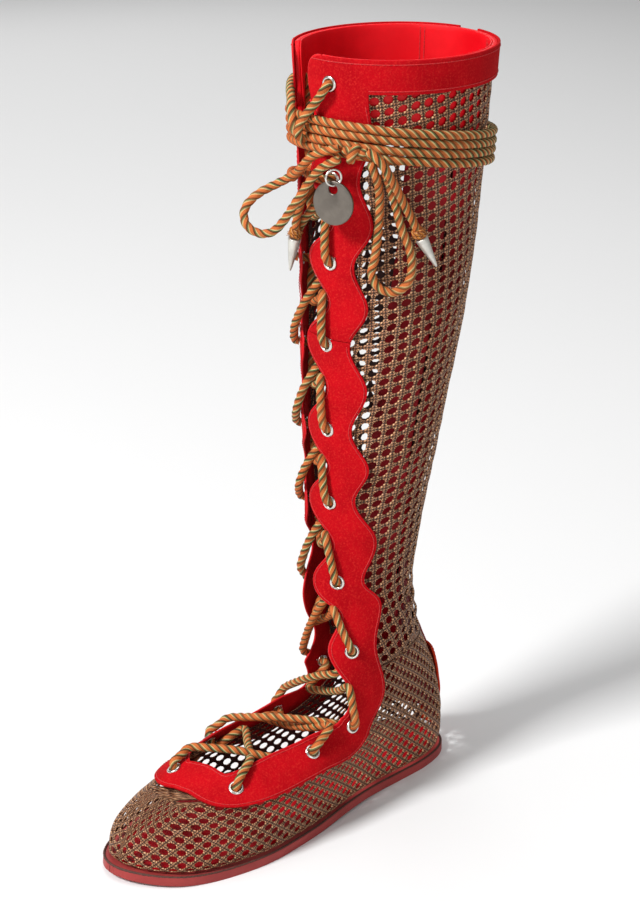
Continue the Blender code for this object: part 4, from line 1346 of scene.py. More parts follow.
@dataclass
class BackParts:
    """Zip, heel stay, top tab and the leather strips inside."""

    shop: Workshop
    zip_width: float = 9.0
    zip_levels: tuple[float, float] = (0.175, 0.952)
    stay_width: float = 15.0
    stay_levels: tuple[float, float] = (0.006, 0.168)
    tab_width: float = 22.0
    tab_levels: tuple[float, float] = (0.970, 0.995)
    tooth_pitch: float = 1.7
    tooth: tuple[float, float, float] = (2.1, 0.9, 0.75)
    tooth_height: float = 1.45
    tooth_apart: float = 0.55
    tooth_bevel: float = 0.16
    tooth_margin: float = 0.006
    placket_from: float = 1.2
    placket_width: float = 31.0
    placket_height: float = -3.9
    placket_levels: tuple[float, float] = (0.03, 0.93)

    def build(self) -> None:
        """Make every piece up the back."""
        self._strip("zip_tape", self.zip_width, self.zip_levels, 170, 6, 0.4, 0.8, "tape",
                    Slot.ZIP, ("zip",))
        self._strip("heel_stay", self.stay_width, self.stay_levels, 40, 8, 1.0, 1.4, "stay",
                    Slot.SUEDE, ("back_stay",))
        self._strip("top_tab", self.tab_width, self.tab_levels, 10, 12, 3.0, 1.4, "suede",
                    Slot.SUEDE, ("back_tab",))
        self._plackets()
        self._teeth()
        self._stitches()

    def _spots(self, offset: Array, level: Array) -> tuple[Array, Array]:
        """Around and level at a distance beside the back seam."""
        by_around, _ = self.shop.last.slopes(np.zeros_like(level), level)
        return (offset / np.linalg.norm(by_around, axis=1)) % 1.0, level

    def _strip(self, name: str, width: float, levels: tuple[float, float], rows: int,
               columns: int, height: float, thick: float, finish: str, slot: Slot,
               stands_for: Sequence[str]) -> None:
        """A strip over the back seam."""

        def place(across: Array, up: Array) -> Array:
            """Rows across the strip."""
            level = levels[0] + (levels[1] - levels[0]) * up
            return self.shop.last.over(*self._spots((across - 0.5) * width, level), height)

        bm = grid(columns, rows, place, flip=True)
        piece = self.shop.piece(name, bm, finish, slot, stands_for=stands_for)
        self.shop.thicken(piece, thick, 1.0, bevel=min(0.35, thick * 0.4))

    def _plackets(self) -> None:
        """Leather strips that face the zip inside the net."""
        bm = bmesh.new()
        for sign in (1, -1):

            def place(across: Array, up: Array, sign: int = sign) -> Array:
                """Rows across one strip."""
                low, high = self.placket_levels
                level = low + (high - low) * up
                offset = self.placket_from + self.placket_width * across
                return self.shop.last.over(*self._spots(sign * offset, level),
                                           self.placket_height)

            grid(6, 150, place, bm, flip=sign > 0)
        # The strips wear a darkened copy of the red leather: painted shade of the boot's inside.
        piece = self.shop.piece("zip_facings", bm, "placket", Slot.LINING)
        self.shop.thicken(piece, 1.0, 1.0, bevel=0.3)

    def _teeth(self) -> None:
        """Two interlocked rows of metal teeth."""
        last = self.shop.last
        levels = np.linspace(self.zip_levels[0] + self.tooth_margin,
                             self.zip_levels[1] - self.tooth_margin, 1200)
        line = resampled(last.over(0.0, levels, self.tooth_height), self.tooth_pitch)
        way = unit(np.gradient(line, axis=0))
        bm = bmesh.new()
        for number, (point, up) in enumerate(zip(line, way)):
            side = 1 if number % 2 else -1
            out = np.cross((1.0, 0.0, 0.0), up)
            turn = Matrix((Vector((1, 0, 0)), Vector(up), Vector(out))).transposed().to_4x4()
            aside = np.array((side * self.tooth_apart, 0, 0))
            spot = Matrix.Translation(Vector(point + aside) * MM)
            size = Matrix.Diagonal((*(Vector(self.tooth) * MM), 1.0))
            made = bmesh.ops.create_cube(bm, size=1.0, matrix=spot @ turn @ size)["verts"]
            edges = list({edge for vert in made for edge in vert.link_edges})
            bmesh.ops.bevel(bm, geom=edges, offset=self.tooth_bevel * MM, affect="EDGES",
                            segments=1, profile=0.5, material=-1)
        bmesh.ops.recalc_face_normals(bm, faces=bm.faces)
        self.shop.piece("zip_teeth", bm, "nickel", Slot.NICKEL)

    def _stitches(self) -> None:
        """Stitching beside the stay's, tab's and tape's edges."""
        thread = Thread()
        bm = bmesh.new()
        rows = ((self.stay_width / 2 - 1.4, self.stay_levels, 2.4),
                (self.tab_width / 2 - 1.6, self.tab_levels, 4.4),
                (self.zip_width / 2 - 0.9, self.zip_levels, 1.2))
        for offset, (low, high), height in rows:
            for sign in (1, -1):
                level = np.linspace(low + 0.003, high - 0.003, 200)
                spots = self._spots(np.full(200, sign * offset), level)
                thread.mesh(self.shop.last.over(*spots, height - 0.02),
                            self.shop.last.normals(*spots), bm)
        self.shop.piece("back_stitches", bm, "thread", Slot.SUEDE)


# ---------------------------------------------------------------- sole


@dataclass
class Sole:
    """Outsole with a rounded edge, its welt lines and the insole."""

    shop: Workshop
    thick: float = 5.0
    insole_thick: float = 2.0
    insole_inset: float = 7.5
    edge_round: float = 1.9

    def build(self) -> None:
        """Make the outsole, the insole and the two lines round the edge."""
        bm = grid(22, 110, self._plan(0.0, 0.0), flip=True)
        weld(bm, 0.4)
        piece = self.shop.piece("outsole_leather", bm, "sole", Slot.SOLE, stands_for=("outsole",))
        self._wall(piece, self.thick, self.edge_round, 4)
        bm = grid(16, 90, self._plan(self.insole_inset, self.thick + 0.3), flip=True)
        weld(bm, 0.4)
        # The insole's finish is its red leather darkened as painted shade of the boot's inside.
        piece = self.shop.piece("insole_leather", bm, "insole", Slot.LINING,
                                stands_for=("insole",))
        self._wall(piece, self.insole_thick, 0.6, 2)
        self._lines()

    @staticmethod
    def _wall(piece: bpy.types.Object, thick: float, bevel: float, segments: int) -> None:
        """Thickness with rounded edges."""
        Workshop.thicken(piece, thick, 1.0, bevel)
        piece.modifiers["Rim"].segments = segments

    def _plan(self, inset: float, height: float) -> Mapper:
        """The sole's plan as rows from the heel to the toe."""
        last = self.shop.last
        middle = (last.toe_y + last.heel_y) / 2

        def place(across: Array, up: Array) -> Array:
            """Rows across the sole."""
            around = 0.5 * up - 0.05 * np.sin(2 * np.pi * up)
            ends = []
            for share in (around, -around):
                x, y = last.outline(share)
                pull = 1 - inset / np.where(x > 0, last.outer_x, last.inner_x)
                shrink = 1 - inset / (last.heel_y - middle)
                ends.append((x * pull, middle + (y - middle) * shrink))
            x = ends[1][0] + (ends[0][0] - ends[1][0]) * across
            y = ends[1][1] + (ends[0][1] - ends[1][1]) * across
            return np.stack([x, y, last.lift(y) + height], axis=1)

        return place

    def _ring(self, inset: float, height: float) -> Array:
        """A closed line round the sole."""
        last = self.shop.last
        x, y = last.outline(np.linspace(0, 1, 500))
        middle = np.array((0.0, (last.toe_y + last.heel_y) / 2))
        line = np.stack([x, y], 1)
        way = np.gradient(line, axis=0)
        out = unit(np.stack([way[:, 1], -way[:, 0]], 1))
        flip = np.sign(((line - middle) * out).sum(1).mean())
        line = line - out * flip * inset
        return np.column_stack([line, last.lift(line[:, 1]) + height])

    def _lines(self) -> None:
        """Dark line under the net and thin line at the bottom of the edge."""
        for name, inset, height, radius in (("feather_line", 0.9, self.thick + 0.1, 0.75),
                                            ("edge_line", 0.65, 0.75, 0.36)):
            rope = Rope(radius=radius, groove=0.3, strands=2, pitch=3.2, spacing=1.0, sides=8)
            self.shop.piece(name, rope.mesh(self._ring(inset, height)), "welt", Slot.SOLE)


# ---------------------------------------------------------------- eyelets and lace


def spun(profile: Sequence[tuple[float, float]], steps: int, matrix: Matrix,
         bm: bmesh.types.BMesh) -> None:
    """Add a closed profile of (radius, height) in millimetres, turned about an axis.

    Args:
        profile: The profile's corners in order.
        steps: Steps round.
        matrix: Where the axis stands, in metres.
        bm: The mesh to add to.
    """
    own = bmesh.new()
    verts = [own.verts.new((radius * MM, 0, height * MM)) for radius, height in profile]
    edges = [own.edges.new(pair) for pair in zip(verts, verts[1:] + verts[:1])]
    bmesh.ops.spin(own, geom=verts + edges, cent=(0, 0, 0), axis=(0, 0, 1), dvec=(0, 0, 0),
                   angle=2 * math.pi, steps=steps, use_merge=True, use_duplicate=False)
    bmesh.ops.remove_doubles(own, verts=own.verts, dist=0.00001)
    bmesh.ops.dissolve_degenerate(own, edges=own.edges, dist=0.000005)
    bmesh.ops.recalc_face_normals(own, faces=own.faces)
    bmesh.ops.transform(own, matrix=matrix, verts=own.verts)
    mesh = bpy.data.meshes.new("spun")
    own.to_mesh(mesh)
    own.free()
    bm.from_mesh(mesh)
    bpy.data.meshes.remove(mesh)


def stand(point: Array, axis: Array) -> Matrix:
    """Matrix in metres that takes the origin to a point and +Z to an axis."""
    turn = Vector(axis).to_track_quat("Z", "Y").to_matrix().to_4x4()
    return Matrix.Translation(Vector(point) * MM) @ turn


@dataclass
class Eyelets:
    """Domed metal eyelets."""

    shop: Workshop
    face: float = 2.4
    profile: tuple[tuple[float, float], ...] = (
        (2.62, -1.6), (2.56, 0.35), (2.72, 0.8), (3.05, 1.08), (3.5, 1.12), (3.95, 0.92),
        (4.28, 0.55), (4.4, 0.15), (4.3, 0.02), (3.15, 0.02), (3.15, -1.2), (3.7, -1.55),
        (3.6, -1.75), (2.9, -1.75))

    def build(self) -> None:
        """Make the eyelets of each side."""
        for side in Side:
            bm = bmesh.new()
            for index in range(1, len(EYELETS)):
                spot = self.shop.line.spots(index * side.value)
                matrix = stand(self.shop.last.over(*spot, self.face)[0],
                               self.shop.last.normals(*spot)[0])
                spun(self.profile, 32, matrix, bm)
            nodes = [f"eyelet_{side.word}_{index:02d}" for index in range(1, len(EYELETS))]
            self.shop.piece(f"eyelets_{side.word}", bm, "nickel", Slot.NICKEL, stands_for=nodes)


@dataclass(frozen=True)
class Crossing:
    """How the strands that start at one side's eyelets cross the throat.

    The climbs are shares of the way from one eyelet to the next: where a strand leaves the
    facing, above its own eyelet, and where it goes under the other edge, below its next one.
    """

    climbs: tuple[float, float]
    own_climbs: dict[int, tuple[float, float]]
    past_leaving: float
    past_entering: float
    leave_height: float
    enter_height: float
    bow: float


CROSSINGS = {
    Side.OUTER: Crossing(
        climbs=(0.6, 0.5),
        own_climbs={1: (0.3, -0.35), 2: (0.4, 0.3), 4: (0.6, 0.3), 10: (0.0, 0.9)},
        past_leaving=1.2, past_entering=3.0, leave_height=4.2, enter_height=-4.6, bow=-3.4),
    Side.INNER: Crossing(
        climbs=(0.25, 0.25),
        own_climbs={1: (0.25, 0.45), 2: (0.25, 0.45), 10: (0.0, 0.9)},
        past_leaving=3.0, past_entering=1.2, leave_height=5.8, enter_height=-2.6, bow=2.3),
}


@dataclass
class Lacing:
    """The lace through the eyelets, and its straps down to the turns."""

    shop: Workshop
    rope: Rope = Rope()
    in_eyelet: tuple[float, float] = (0.6, 3.6)
    over_facing: tuple[float, float] = (6.1, 6.05)
    under_facing: tuple[float, float] = (-3.5, -4.4)
    below_eyelet: float = -1.9
    top_heights: tuple[float, float] = (0.6, 3.4)
    bar: tuple[tuple[float, float], ...] = (
        (0.0, -1.6), (0.08, -4.2), (0.5, -5.4), (0.92, -4.2), (1.0, -1.6))
    strap_outer: tuple[tuple[float, float, float], ...] = (
        (5.4, -65.0, 419.9), (2.0, -65.0, 415.6), (-1.6, -65.2, 411.4), (-4.6, -66.2, 407.6),
        (-7.0, -68.0, 403.6), (-8.9, -69.6, 399.6), (-10.4, -69.8, 395.2), (-11.4, -67.6, 391.6),
        (-12.0, -63.4, 389.8))
    strap_inner: tuple[tuple[float, float, float], ...] = (
        (-48.0, -40.4, 412.4), (-42.0, -46.6, 411.0), (-35.4, -52.6, 409.6), (-29.0, -57.8, 407.6),
        (-24.0, -62.6, 405.0), (-20.2, -65.2, 400.8), (-17.8, -66.2, 396.2), (-16.6, -64.6, 392.4),
        (-16.2, -60.4, 390.6))

    def build(self) -> None:
        """Make the lace as one cord from strap to strap, by way of every eyelet."""
        ends = []
        for side in Side:
            half = self._half(side)
            strap = min((self.strap_outer, self.strap_inner),
                        key=lambda way, top=half[-1]: float(np.linalg.norm(way[0] - top)))
            ends.append([*half, *map(np.array, strap)])
        route = smooth_route([*ends[0][::-1], *self._bar(), *ends[1]])
        nodes = [f"lacing_{index:02d}" for index in range(1, len(EYELETS) - 1)]
        nodes += ["lace_strap_outer", "lace_strap_inner"]
        self.shop.piece("lace_run", self.rope.mesh(route), "lace", Slot.LACE, stands_for=nodes)

    def _over(self, spot: tuple[Array, Array], height: float) -> Array:
        """One point over the last."""
        return self.shop.last.over(*spot, height)[0]

    @staticmethod
    def _between(a: tuple[Array, Array], b: tuple[Array, Array],
                 share: float) -> tuple[Array, Array]:
        """A spot part of the way from one to another."""
        return a[0] + (b[0] - a[0]) * share, a[1] + (b[1] - a[1]) * share

    def _bar(self) -> list[Array]:
        """Points of the lace under the vamp between the two lowest eyelets."""
        outer, inner = self.shop.line.spots(1), self.shop.line.spots(-1)
        return [self._over(self._between(outer, inner, share), height)
                for share, height in self.bar]

    def _half(self, side: Side) -> list[Array]:
        """Points of one half of the lace, from its lowest eyelet up to its highest."""
        points = []
        for index in range(1, len(EYELETS) - 1):
            points += self._strand(side, index)
            side = Side(-side.value)
        top = self.shop.line.spots((len(EYELETS) - 1) * side.value)
        return [*points, *(self._over(top, height) for height in self.top_heights)]

    def _strand(self, side: Side, index: int) -> list[Array]:
        """Points from one eyelet over the facing, across the throat and under the next one."""
        line, sign, way = self.shop.line, side.value, CROSSINGS[side]
        leave, enter = way.own_climbs.get(index, way.climbs)
        start, end = line.spots(index * sign), line.spots(-(index + 1) * sign)
        off = line.past_facing((index + leave) * sign, way.past_leaving)
        under = line.past_facing(-(index + 1 - enter) * sign, way.past_entering)
        first, last = self._over(off, way.leave_height), self._over(under, way.enter_height)
        normals = self.shop.last.normals
        out = unit(normals(*off)[0] + normals(*under)[0])
        across = [first + (last - first) * share + out * way.bow * math.sin(math.pi * share)
                  for share in (0.25, 0.5, 0.75)]
        return [self._over(start, self.in_eyelet[0]),
                self._over(self._between(start, off, 0.02), self.in_eyelet[1]),
                self._over(self._between(start, off, 0.16), self.over_facing[0]),
                self._over(self._between(start, off, 0.5), self.over_facing[1]),
                first, *across, last,
                self._over(self._between(under, end, 0.5), self.under_facing[0]),
                self._over(self._between(under, end, 0.9), self.under_facing[1]),
                self._over(end, self.below_eyelet)]


@dataclass
class Turns:
    """The lace wound round the top of the shaft, with its turns leaning down to the back."""

    shop: Workshop
    rope: Rope = Rope()
    pitch: float = 5.1
    middle: float = 385.4
    middle_y: float = -4.5
    drop_per_mm: float = 0.15
    count: int = 4
    over_net: float = 3.0
    over_facing: float = 5.5
    over_zip: float = 4.1
    facing_around: tuple[float, float] = (0.375, 0.76)
    zip_around: float = 0.03
    blend: float = 0.05
    step_around: tuple[float, float] = (0.70, 0.92)

    def build(self) -> None:
        """Make the turns as one winding that steps up where the leg hides it."""
        last = self.shop.last
        start, end = self.step_around
        turn = np.linspace(end, self.count + start, 1000)
        around = turn % 1.0
        rise = np.floor(turn) - 1 + self._smooth((around - start) / (end - start))
        rise = np.clip(rise, 0, self.count - 1) - (self.count - 1) / 2
        height = self.middle + self.pitch * rise + 0.12 * np.sin(turn * 9.7)
        out = self._out(around)
        lean = height - self.drop_per_mm * (
            last.over(around, self._levels(height), out)[:, 1] - self.middle_y)
        points = last.over(around, self._levels(lean), out)
        points[:, 2] = lean
        nodes = [f"lace_wrap_{number}" for number in range(1, self.count + 1)]
        self.shop.piece("lace_turns", self.rope.mesh(points), "lace", Slot.LACE,
                        stands_for=nodes)

    def _levels(self, height: Array) -> Array:
        """Levels of the shaft's rings at heights over the floor."""
        levels = np.linspace(0.7, 1, 300)
        return np.interp(height, self.shop.last.points(0.25, levels)[:, 2], levels)

    def _out(self, around: Array) -> Array:
        """How far the winding lies over the last: on the facing, over the zip or on the net."""
        inside = np.minimum(around - self.facing_around[0], self.facing_around[1] - around)
        front = self._smooth(inside / self.blend + 1)
        near_zip = self.zip_around - np.minimum(around, 1 - around)
        behind = self._smooth(near_zip / self.blend + 1)
        return (self.over_net + (self.over_facing - self.over_net) * front
                + (self.over_zip - self.over_net) * behind)

    @staticmethod
    def _smooth(share: Array) -> Array:
        """A smooth step from 0 to 1."""
        share = np.clip(share, 0, 1)
        return share * share * (3 - 2 * share)


@dataclass
class Bow:
    """Knot, two loops and two tails with whipped ends and metal tips."""

    shop: Workshop
    rope: Rope = Rope()

    LOOP_OUTER = (
        (31.0, -56.0, 383.9), (31.6, -54.8, 379.6), (32.0, -52.9, 375.2), (30.6, -49.8, 368.9),
        (29.5, -48.0, 362.0), (28.9, -47.5, 352.0), (27.7, -47.7, 338.6), (26.3, -48.6, 326.9),
        (25.3, -49.3, 321.1), (27.9, -47.3, 313.8), (33.2, -42.0, 310.3), (37.8, -36.1, 313.6),
        (39.6, -33.3, 321.4), (39.1, -34.1, 333.4), (36.5, -38.3, 346.1), (35.0, -41.6, 359.2),
        (35.1, -45.8, 369.4), (37.0, -50.5, 377.8), (36.6, -52.6, 383.2), (34.0, -56.4, 388.8))
    LOOP_INNER = (
        (16.4, -65.6, 390.2), (8.0, -67.4, 387.4), (-0.3, -68.6, 383.5), (-5.6, -68.6, 379.4),
        (-11.1, -67.6, 374.6), (-20.0, -66.0, 368.6), (-29.2, -69.7, 362.8), (-33.4, -75.1, 359.4),
        (-36.0, -80.0, 355.7), (-37.3, -83.9, 351.1), (-36.6, -85.7, 346.4), (-34.0, -85.5, 341.7),
        (-30.1, -83.0, 338.7), (-25.8, -79.8, 338.1), (-21.4, -76.6, 340.5), (-15.9, -74.3, 347.3),
        (-10.2, -73.0, 355.7), (-5.3, -71.2, 363.4), (0.0, -69.7, 371.4), (6.2, -68.9, 377.8),
        (12.2, -67.9, 381.8), (18.4, -67.0, 384.9))
    TAIL_OUTER = (
        (35.2, -62.6, 391.8), (41.0, -58.0, 385.2), (41.4, -50.3, 374.4), (41.2, -43.4, 364.0),
        (41.2, -36.3, 352.9), (42.0, -32.2, 345.6), (42.6, -29.9, 341.0))
    TAIL_OUTER_TIP = (45.3, -20.6, 324.0)
    TAIL_INNER = (
        (-8.0, -66.2, 366.3), (-12.7, -62.6, 361.4), (-18.6, -60.8, 352.5), (-23.2, -59.4, 343.5),
        (-25.6, -57.8, 336.8), (-26.8, -57.6, 331.6))
    TAIL_INNER_TIP = (-31.0, -57.5, 311.5)
    KNOT_CENTRE = (24.6, -62.4, 388.0)
    TIP_GAP = 0.45
    TIP_PROFILE = ((0.0, 0.0), (2.6, 0.0), (2.9, -0.15), (3.3, -0.1), (3.6, 0.25), (3.58, 0.9),
                   (3.2, 4.0), (2.55, 8.5), (1.85, 13.0), (1.1, 17.4), (0.62, 19.6), (0.3, 19.95),
                   (0.0, 20.0))

    KNOT_TURNS = 0.62
    KNOT_RADII = (2.5, 3.2)
    KNOT_LEAD = 0.42
    KNOT_ANGLE = 25
    KNOT_UP = (0.25, 0.1, 1.0)
    KNOT_CORE = ((-6.5, 2.2), (-3.0, 1.0), (0.0, 0.0), (3.2, 0.6), (6.8, 2.2))
    KNOT_DEPTH = 0.8
    BINDING = Rope(radius=1.15, pitch=6.5, spacing=0.8, sides=9)
    WINDINGS = ((0.35, -1.5, 2.75), (-0.4, -2.6, 2.7), (0.1, -4.2, 2.5), (1.0, -2.4, 2.3))
    HAIR = Rope(radius=0.2, groove=0.0, spacing=0.9, sides=5)
    HAIRS = 26
    HAIR_ROOTS = (0.4, 4.4)
    HAIR_SPOTS = ((2.2, 0.0), (3.6, 0.4), (4.5, 1.3))

    def build(self) -> None:
        """Make the knot, the loops, the tails and their tips."""
        self._knot()
        for word, route in (("outer", self.LOOP_OUTER), ("inner", self.LOOP_INNER)):
            piece, line = self._cord(f"loop_{word}", route)
        for word, route, point in (("outer", self.TAIL_OUTER, self.TAIL_OUTER_TIP),
                                   ("inner", self.TAIL_INNER, self.TAIL_INNER_TIP)):
            piece, line = self._cord(f"tail_{word}", route)
            with_pieces = [self._tip(word, np.array(route[-1]), np.array(point)),
                           self._whipping(word, np.array(route[-1]), np.array(point))]

    @staticmethod
    def _length(line: Array) -> float:
        """Length of a line."""
        return float(lengths(line)[-1])

    def _cord(self, name: str, route: Sequence[Sequence[float]]) -> tuple[bpy.types.Object, Array]:
        """One free cord, and its centreline in metres."""
        line = smooth_route(route)
        piece = self.shop.piece(f"bow_{name}", self.rope.mesh(line), "lace", Slot.LACE,
                                stands_for=(f"lace_{name}",))
        return piece, line * MM

    def _knot(self) -> None:
        """The band of lace round the bow's middle, between its two bights."""
        centre = np.array(self.KNOT_CENTRE)
        turn = np.linspace(-self.KNOT_TURNS, self.KNOT_TURNS, 60) * 2 * np.pi
        angle = math.radians(self.KNOT_ANGLE)
        across = np.array((math.cos(angle), math.sin(angle), 0.0))
        out = np.array((math.sin(angle), -math.cos(angle), 0.0))
        up = np.array(self.KNOT_UP)
        deep, tall = self.KNOT_RADII
        band = (centre + out * (np.cos(turn) * deep)[:, None] + up * (np.sin(turn) * tall)[:, None]
                + across * (turn * self.KNOT_LEAD)[:, None])
        bm = self.rope.mesh(band)
        through = [centre + across * aside + up * rise - out * self.KNOT_DEPTH
                   for aside, rise in self.KNOT_CORE]
        self.rope.mesh(smooth_route(through), bm)
        self.shop.piece("bow_knot", bm, "lace", Slot.LACE, stands_for=("lace_knot",))

    def _tip(self, word: str, base: Array, point: Array) -> bpy.types.Object:
        """A metal cone on a lace's end."""
        way = unit(point - base)
        bm = bmesh.new()
        spun(self.TIP_PROFILE, 36, stand(base + way * self.TIP_GAP, way), bm)
        return self.shop.piece(f"cone_{word}", bm, "tip", Slot.TIP, stands_for=(f"tip_{word}",))

    def _whipping(self, word: str, base: Array, point: Array) -> bpy.types.Object:
        """The frayed binding above a cone."""
        way = unit(point - base)
        side = unit(np.cross(way, (0.3, 0.5, 0.8)))
        other = np.cross(way, side)
        bm = bmesh.new()
        turn = np.linspace(0, 2 * np.pi, 60)
        for lean, drop, wide in self.WINDINGS:
            ring = (base + way * drop + side * (np.cos(turn) * wide)[:, None]
                    + other * (np.sin(turn) * wide)[:, None]
                    + way * (np.cos(turn + lean * 3) * lean * wide)[:, None])
            self.BINDING.mesh(ring, bm)
        nearest, spread = self.HAIR_ROOTS
        for number in range(self.HAIRS):
            angle = number * 2.4
            root = base - way * (nearest + spread * ((number * 0.37) % 1.0))
            out = side * math.cos(angle) + other * math.sin(angle)
            bend = way * (0.9 * math.sin(number * 1.9)) + side * (0.5 * math.sin(number * 3.1))
            spots = [root + out * reach + bend * share for reach, share in self.HAIR_SPOTS]
            self.HAIR.mesh(smooth_route(spots, 0.5), bm)
        return self.shop.piece(f"whipping_{word}", bm, "lace_gold", Slot.LACE)


# ---------------------------------------------------------------- tag


@dataclass
class Tag:
    """Bare round tag on a wire ring."""

    shop: Workshop
    hinge: tuple[float, float, float] = (15.2, -67.9, 379.05)
    face_turn: float = 17.5
    ring_turn: float = 50.0
    ring_major: float = 4.3
    ring_wire: float = 0.65
    radius: float = 12.0
    thick: float = 1.6
    hole_radius: float = 2.75
    hole_rise: float = 7.6
    clearance: float = 0.35
    sides: int = 64
    bevel: float = 0.38

    def build(self) -> None:
        """Make the ring and the tag."""
        place = (Matrix.Translation(Vector(self.hinge) * MM)
                 @ Matrix.Rotation(math.radians(self.face_turn), 4, "Z"))
        wire = [(self.ring_major + self.ring_wire * math.cos(math.pi * i / 6),
                 self.ring_wire * math.sin(math.pi * i / 6)) for i in range(12)]
        ring = (place @ Matrix.Translation((0, 0, -self.ring_major * MM))
                @ Matrix.Rotation(math.radians(self.ring_turn), 4, "Z")
                @ Matrix.Rotation(math.radians(90), 4, "X"))
        bm = bmesh.new()
        spun(wire, self.sides, ring, bm)
        self.shop.piece("ring_wire", bm, "nickel", Slot.NICKEL, Body.TAG, ("tag_ring",))
        drop = 2 * self.ring_major - self.ring_wire - self.clearance + self.hole_radius
        plate = (place @ Matrix.Translation((0, 0, -(drop + self.hole_rise) * MM))
                 @ Matrix.Rotation(math.radians(90), 4, "X"))
        self.shop.piece("tag_plate", self._plate(plate), "steel", Slot.STEEL, Body.TAG, ("tag",))

    def _plate(self, matrix: Matrix) -> bmesh.types.BMesh:
        """A round plate with a round hole and softened edges."""
        bm = bmesh.new()
        bmesh.ops.create_circle(bm, segments=self.sides, radius=self.radius * MM)
        bmesh.ops.create_circle(bm, segments=self.sides, radius=self.hole_radius * MM,
                                matrix=Matrix.Translation((0, self.hole_rise * MM, 0)))
        faces = bmesh.ops.bridge_loops(bm, edges=bm.edges[:])["faces"]
        bmesh.ops.recalc_face_normals(bm, faces=faces)
        made = bmesh.ops.extrude_face_region(bm, geom=bm.faces[:])["geom"]
        moved = [item for item in made if isinstance(item, bmesh.types.BMVert)]
        bmesh.ops.translate(bm, verts=moved, vec=(0, 0, self.thick * MM))
        bmesh.ops.translate(bm, verts=bm.verts, vec=(0, 0, -self.thick * MM / 2))
        bmesh.ops.recalc_face_normals(bm, faces=bm.faces)
        sharp = [edge for edge in bm.edges if edge.calc_face_angle(0.0) > 1.0]
        bmesh.ops.bevel(bm, geom=sharp, offset=self.bevel * MM, affect="EDGES", segments=3,
                        profile=0.5, material=-1)
        bmesh.ops.transform(bm, matrix=matrix, verts=bm.verts)
        return bm


# ---------------------------------------------------------------- studio


@dataclass
class Studio:
    """Floor, camera and soft lights."""

    camera_place: tuple[float, float, float] = (0.7996, -0.8029, 0.6509)
    camera_turn: float = 47.24
    camera_dip: float = 21.81
    lens: float = 83.9
    world: float = 0.22
    aim: tuple[float, float, float] = (0.0, -0.07, 0.2)
    lights: tuple[tuple[str, tuple[float, float, float], float, float], ...] = (
        ("key", (-0.35, -2.3, 2.3), 0.7, 112.0), ("fill", (2.4, -1.1, 0.9), 1.6, 16.0),
        ("top", (-0.3, 0.3, 2.8), 1.6, 26.0), ("back", (-2.2, 1.2, 1.2), 1.6, 8.0))

    def build(self, finishes: dict[str, bpy.types.Material]) -> None:
        """Set up everything that isn't part of the boot."""
        scene = bpy.context.scene
        data = bpy.data.cameras.new("camera")
        data.lens, data.sensor_width, data.clip_end = self.lens, 36.0, 50.0
        camera = bpy.data.objects.new("camera", data)
        camera.location = self.camera_place
        camera.rotation_euler = (math.radians(90 - self.camera_dip), 0.0,
                                 math.radians(self.camera_turn))
        scene.collection.objects.link(camera)
        scene.camera = camera
        self._floor(finishes["floor"])
        for name, place, size, power in self.lights:
            self._light(name, place, size, power)
        world = bpy.data.worlds.new("studio")
        world.use_nodes = True
        sky = world.node_tree.nodes["Background"]
        sky.inputs["Color"].default_value = (1.0, 1.0, 1.0, 1.0)
        sky.inputs["Strength"].default_value = self.world
        scene.world = world
        scene.view_settings.view_transform = "Standard"

    @staticmethod
    def _floor(material: bpy.types.Material) -> None:
        """A wide pale floor."""
        bm = bmesh.new()
        bmesh.ops.create_grid(bm, x_segments=1, y_segments=1, size=6.0)
        mesh = bpy.data.meshes.new("floor")
        bm.to_mesh(mesh)
        bm.free()
        mesh.materials.append(material)
        floor = bpy.data.objects.new("floor", mesh)
        bpy.context.scene.collection.objects.link(floor)

    def _light(self, name: str, place: tuple[float, float, float], size: float,
               power: float) -> None:
        """A soft square light that faces the boot."""
        data = bpy.data.lights.new(name, "AREA")
        data.size, data.energy = size, power
        light = bpy.data.objects.new(name, data)
        light.location = place
        way = Vector(self.aim) - Vector(place)
        light.rotation_euler = way.to_track_quat("-Z", "Y").to_euler()
        bpy.context.scene.collection.objects.link(light)


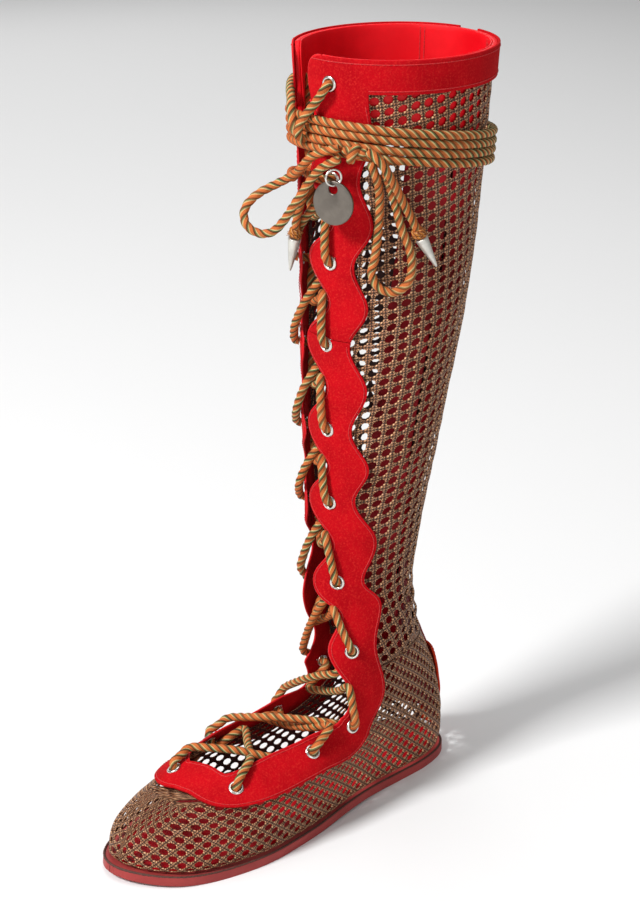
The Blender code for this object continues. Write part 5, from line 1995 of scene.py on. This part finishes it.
def make_finishes() -> dict[str, bpy.types.Material]:
    """Every finish on the boot and the floor."""
    recipes = {
        "suede": Suede("red_suede"),
        "stay": Suede("orange_red_suede", (0.55, 0.035, 0.01), (0.36, 0.018, 0.006),
                      (0.75, 0.09, 0.03)),
        # The throat edge's red, brighter than the suede: a painted highlight where the edge catches
        # the light.
        "rim": Leather("edge_painted_highlight", (0.72, 0.008, 0.012), (0.50, 0.004, 0.008), 0.6),
        "lining": Leather("red_lining", (0.84, 0.002, 0.010), (0.66, 0.001, 0.006), 0.5),
        # The plackets' red leather darkened to maroon as painted shade of the boot's inside.
        "placket": Leather("red_leather_painted_shade", (0.30, 0.001, 0.006), (0.14, 0.001, 0.003), 0.55),
        # The insole's own red, darkened below the lining's as painted shade inside the boot.
        "insole": Leather("red_insole_painted_shade", (0.55, 0.002, 0.010), (0.40, 0.001, 0.006), 0.5),
        "sole": Leather("sole_leather", (0.40, 0.055, 0.05), (0.27, 0.032, 0.03), 0.5),
        "thread": Woven("red_thread", (0.64, 0.02, 0.022), (0.36, 0.008, 0.009)),
        "welt": Woven("brown_welt", (0.10, 0.035, 0.022), (0.04, 0.014, 0.010)),
        "tape": Woven("zip_tape", (0.30, 0.01, 0.015), (0.16, 0.005, 0.008), 1100.0),
        "net": NetCord("metallic_net_cord"),
        # The net's inside face: near-black painted shade, not the yarn's own colour.
        "net_inside": Woven("net_inside_painted_shade", (0.045, 0.012, 0.008), (0.016, 0.004, 0.003)),
        "lace": RopeCord("striped_lace"),
        "lace_gold": RopeCord("gold_binding", orange=(0.66, 0.24, 0.03), green=(0.42, 0.09, 0.02)),
        "nickel": Metal("nickel", (0.78, 0.76, 0.71), 0.26),
        "steel": Metal("grey_steel", (0.20, 0.175, 0.15), 0.36),
        "tip": Metal("matte_silver", (0.74, 0.72, 0.66), 0.42, 0.85),
        "floor": StudioFloor("paper"),
    }
    return {name: recipe.make() for name, recipe in recipes.items()}


def main() -> None:
    """Build the studio and every piece of the boot."""
    logging.basicConfig(level=logging.INFO, format="%(name)s %(message)s")
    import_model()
    finishes = make_finishes()
    Studio().build(finishes)
    last = Last()
    shop = Workshop(last, EyeletLine(last), finishes)
    Bow(shop).build()
    Lacing(shop).build()
    Turns(shop).build()
    Net(shop).build()
    Suedework(shop).build()
    BackParts(shop).build()
    Sole(shop).build()
    Eyelets(shop).build()
    Tag(shop).build()


if __name__ == "__main__":
    main()
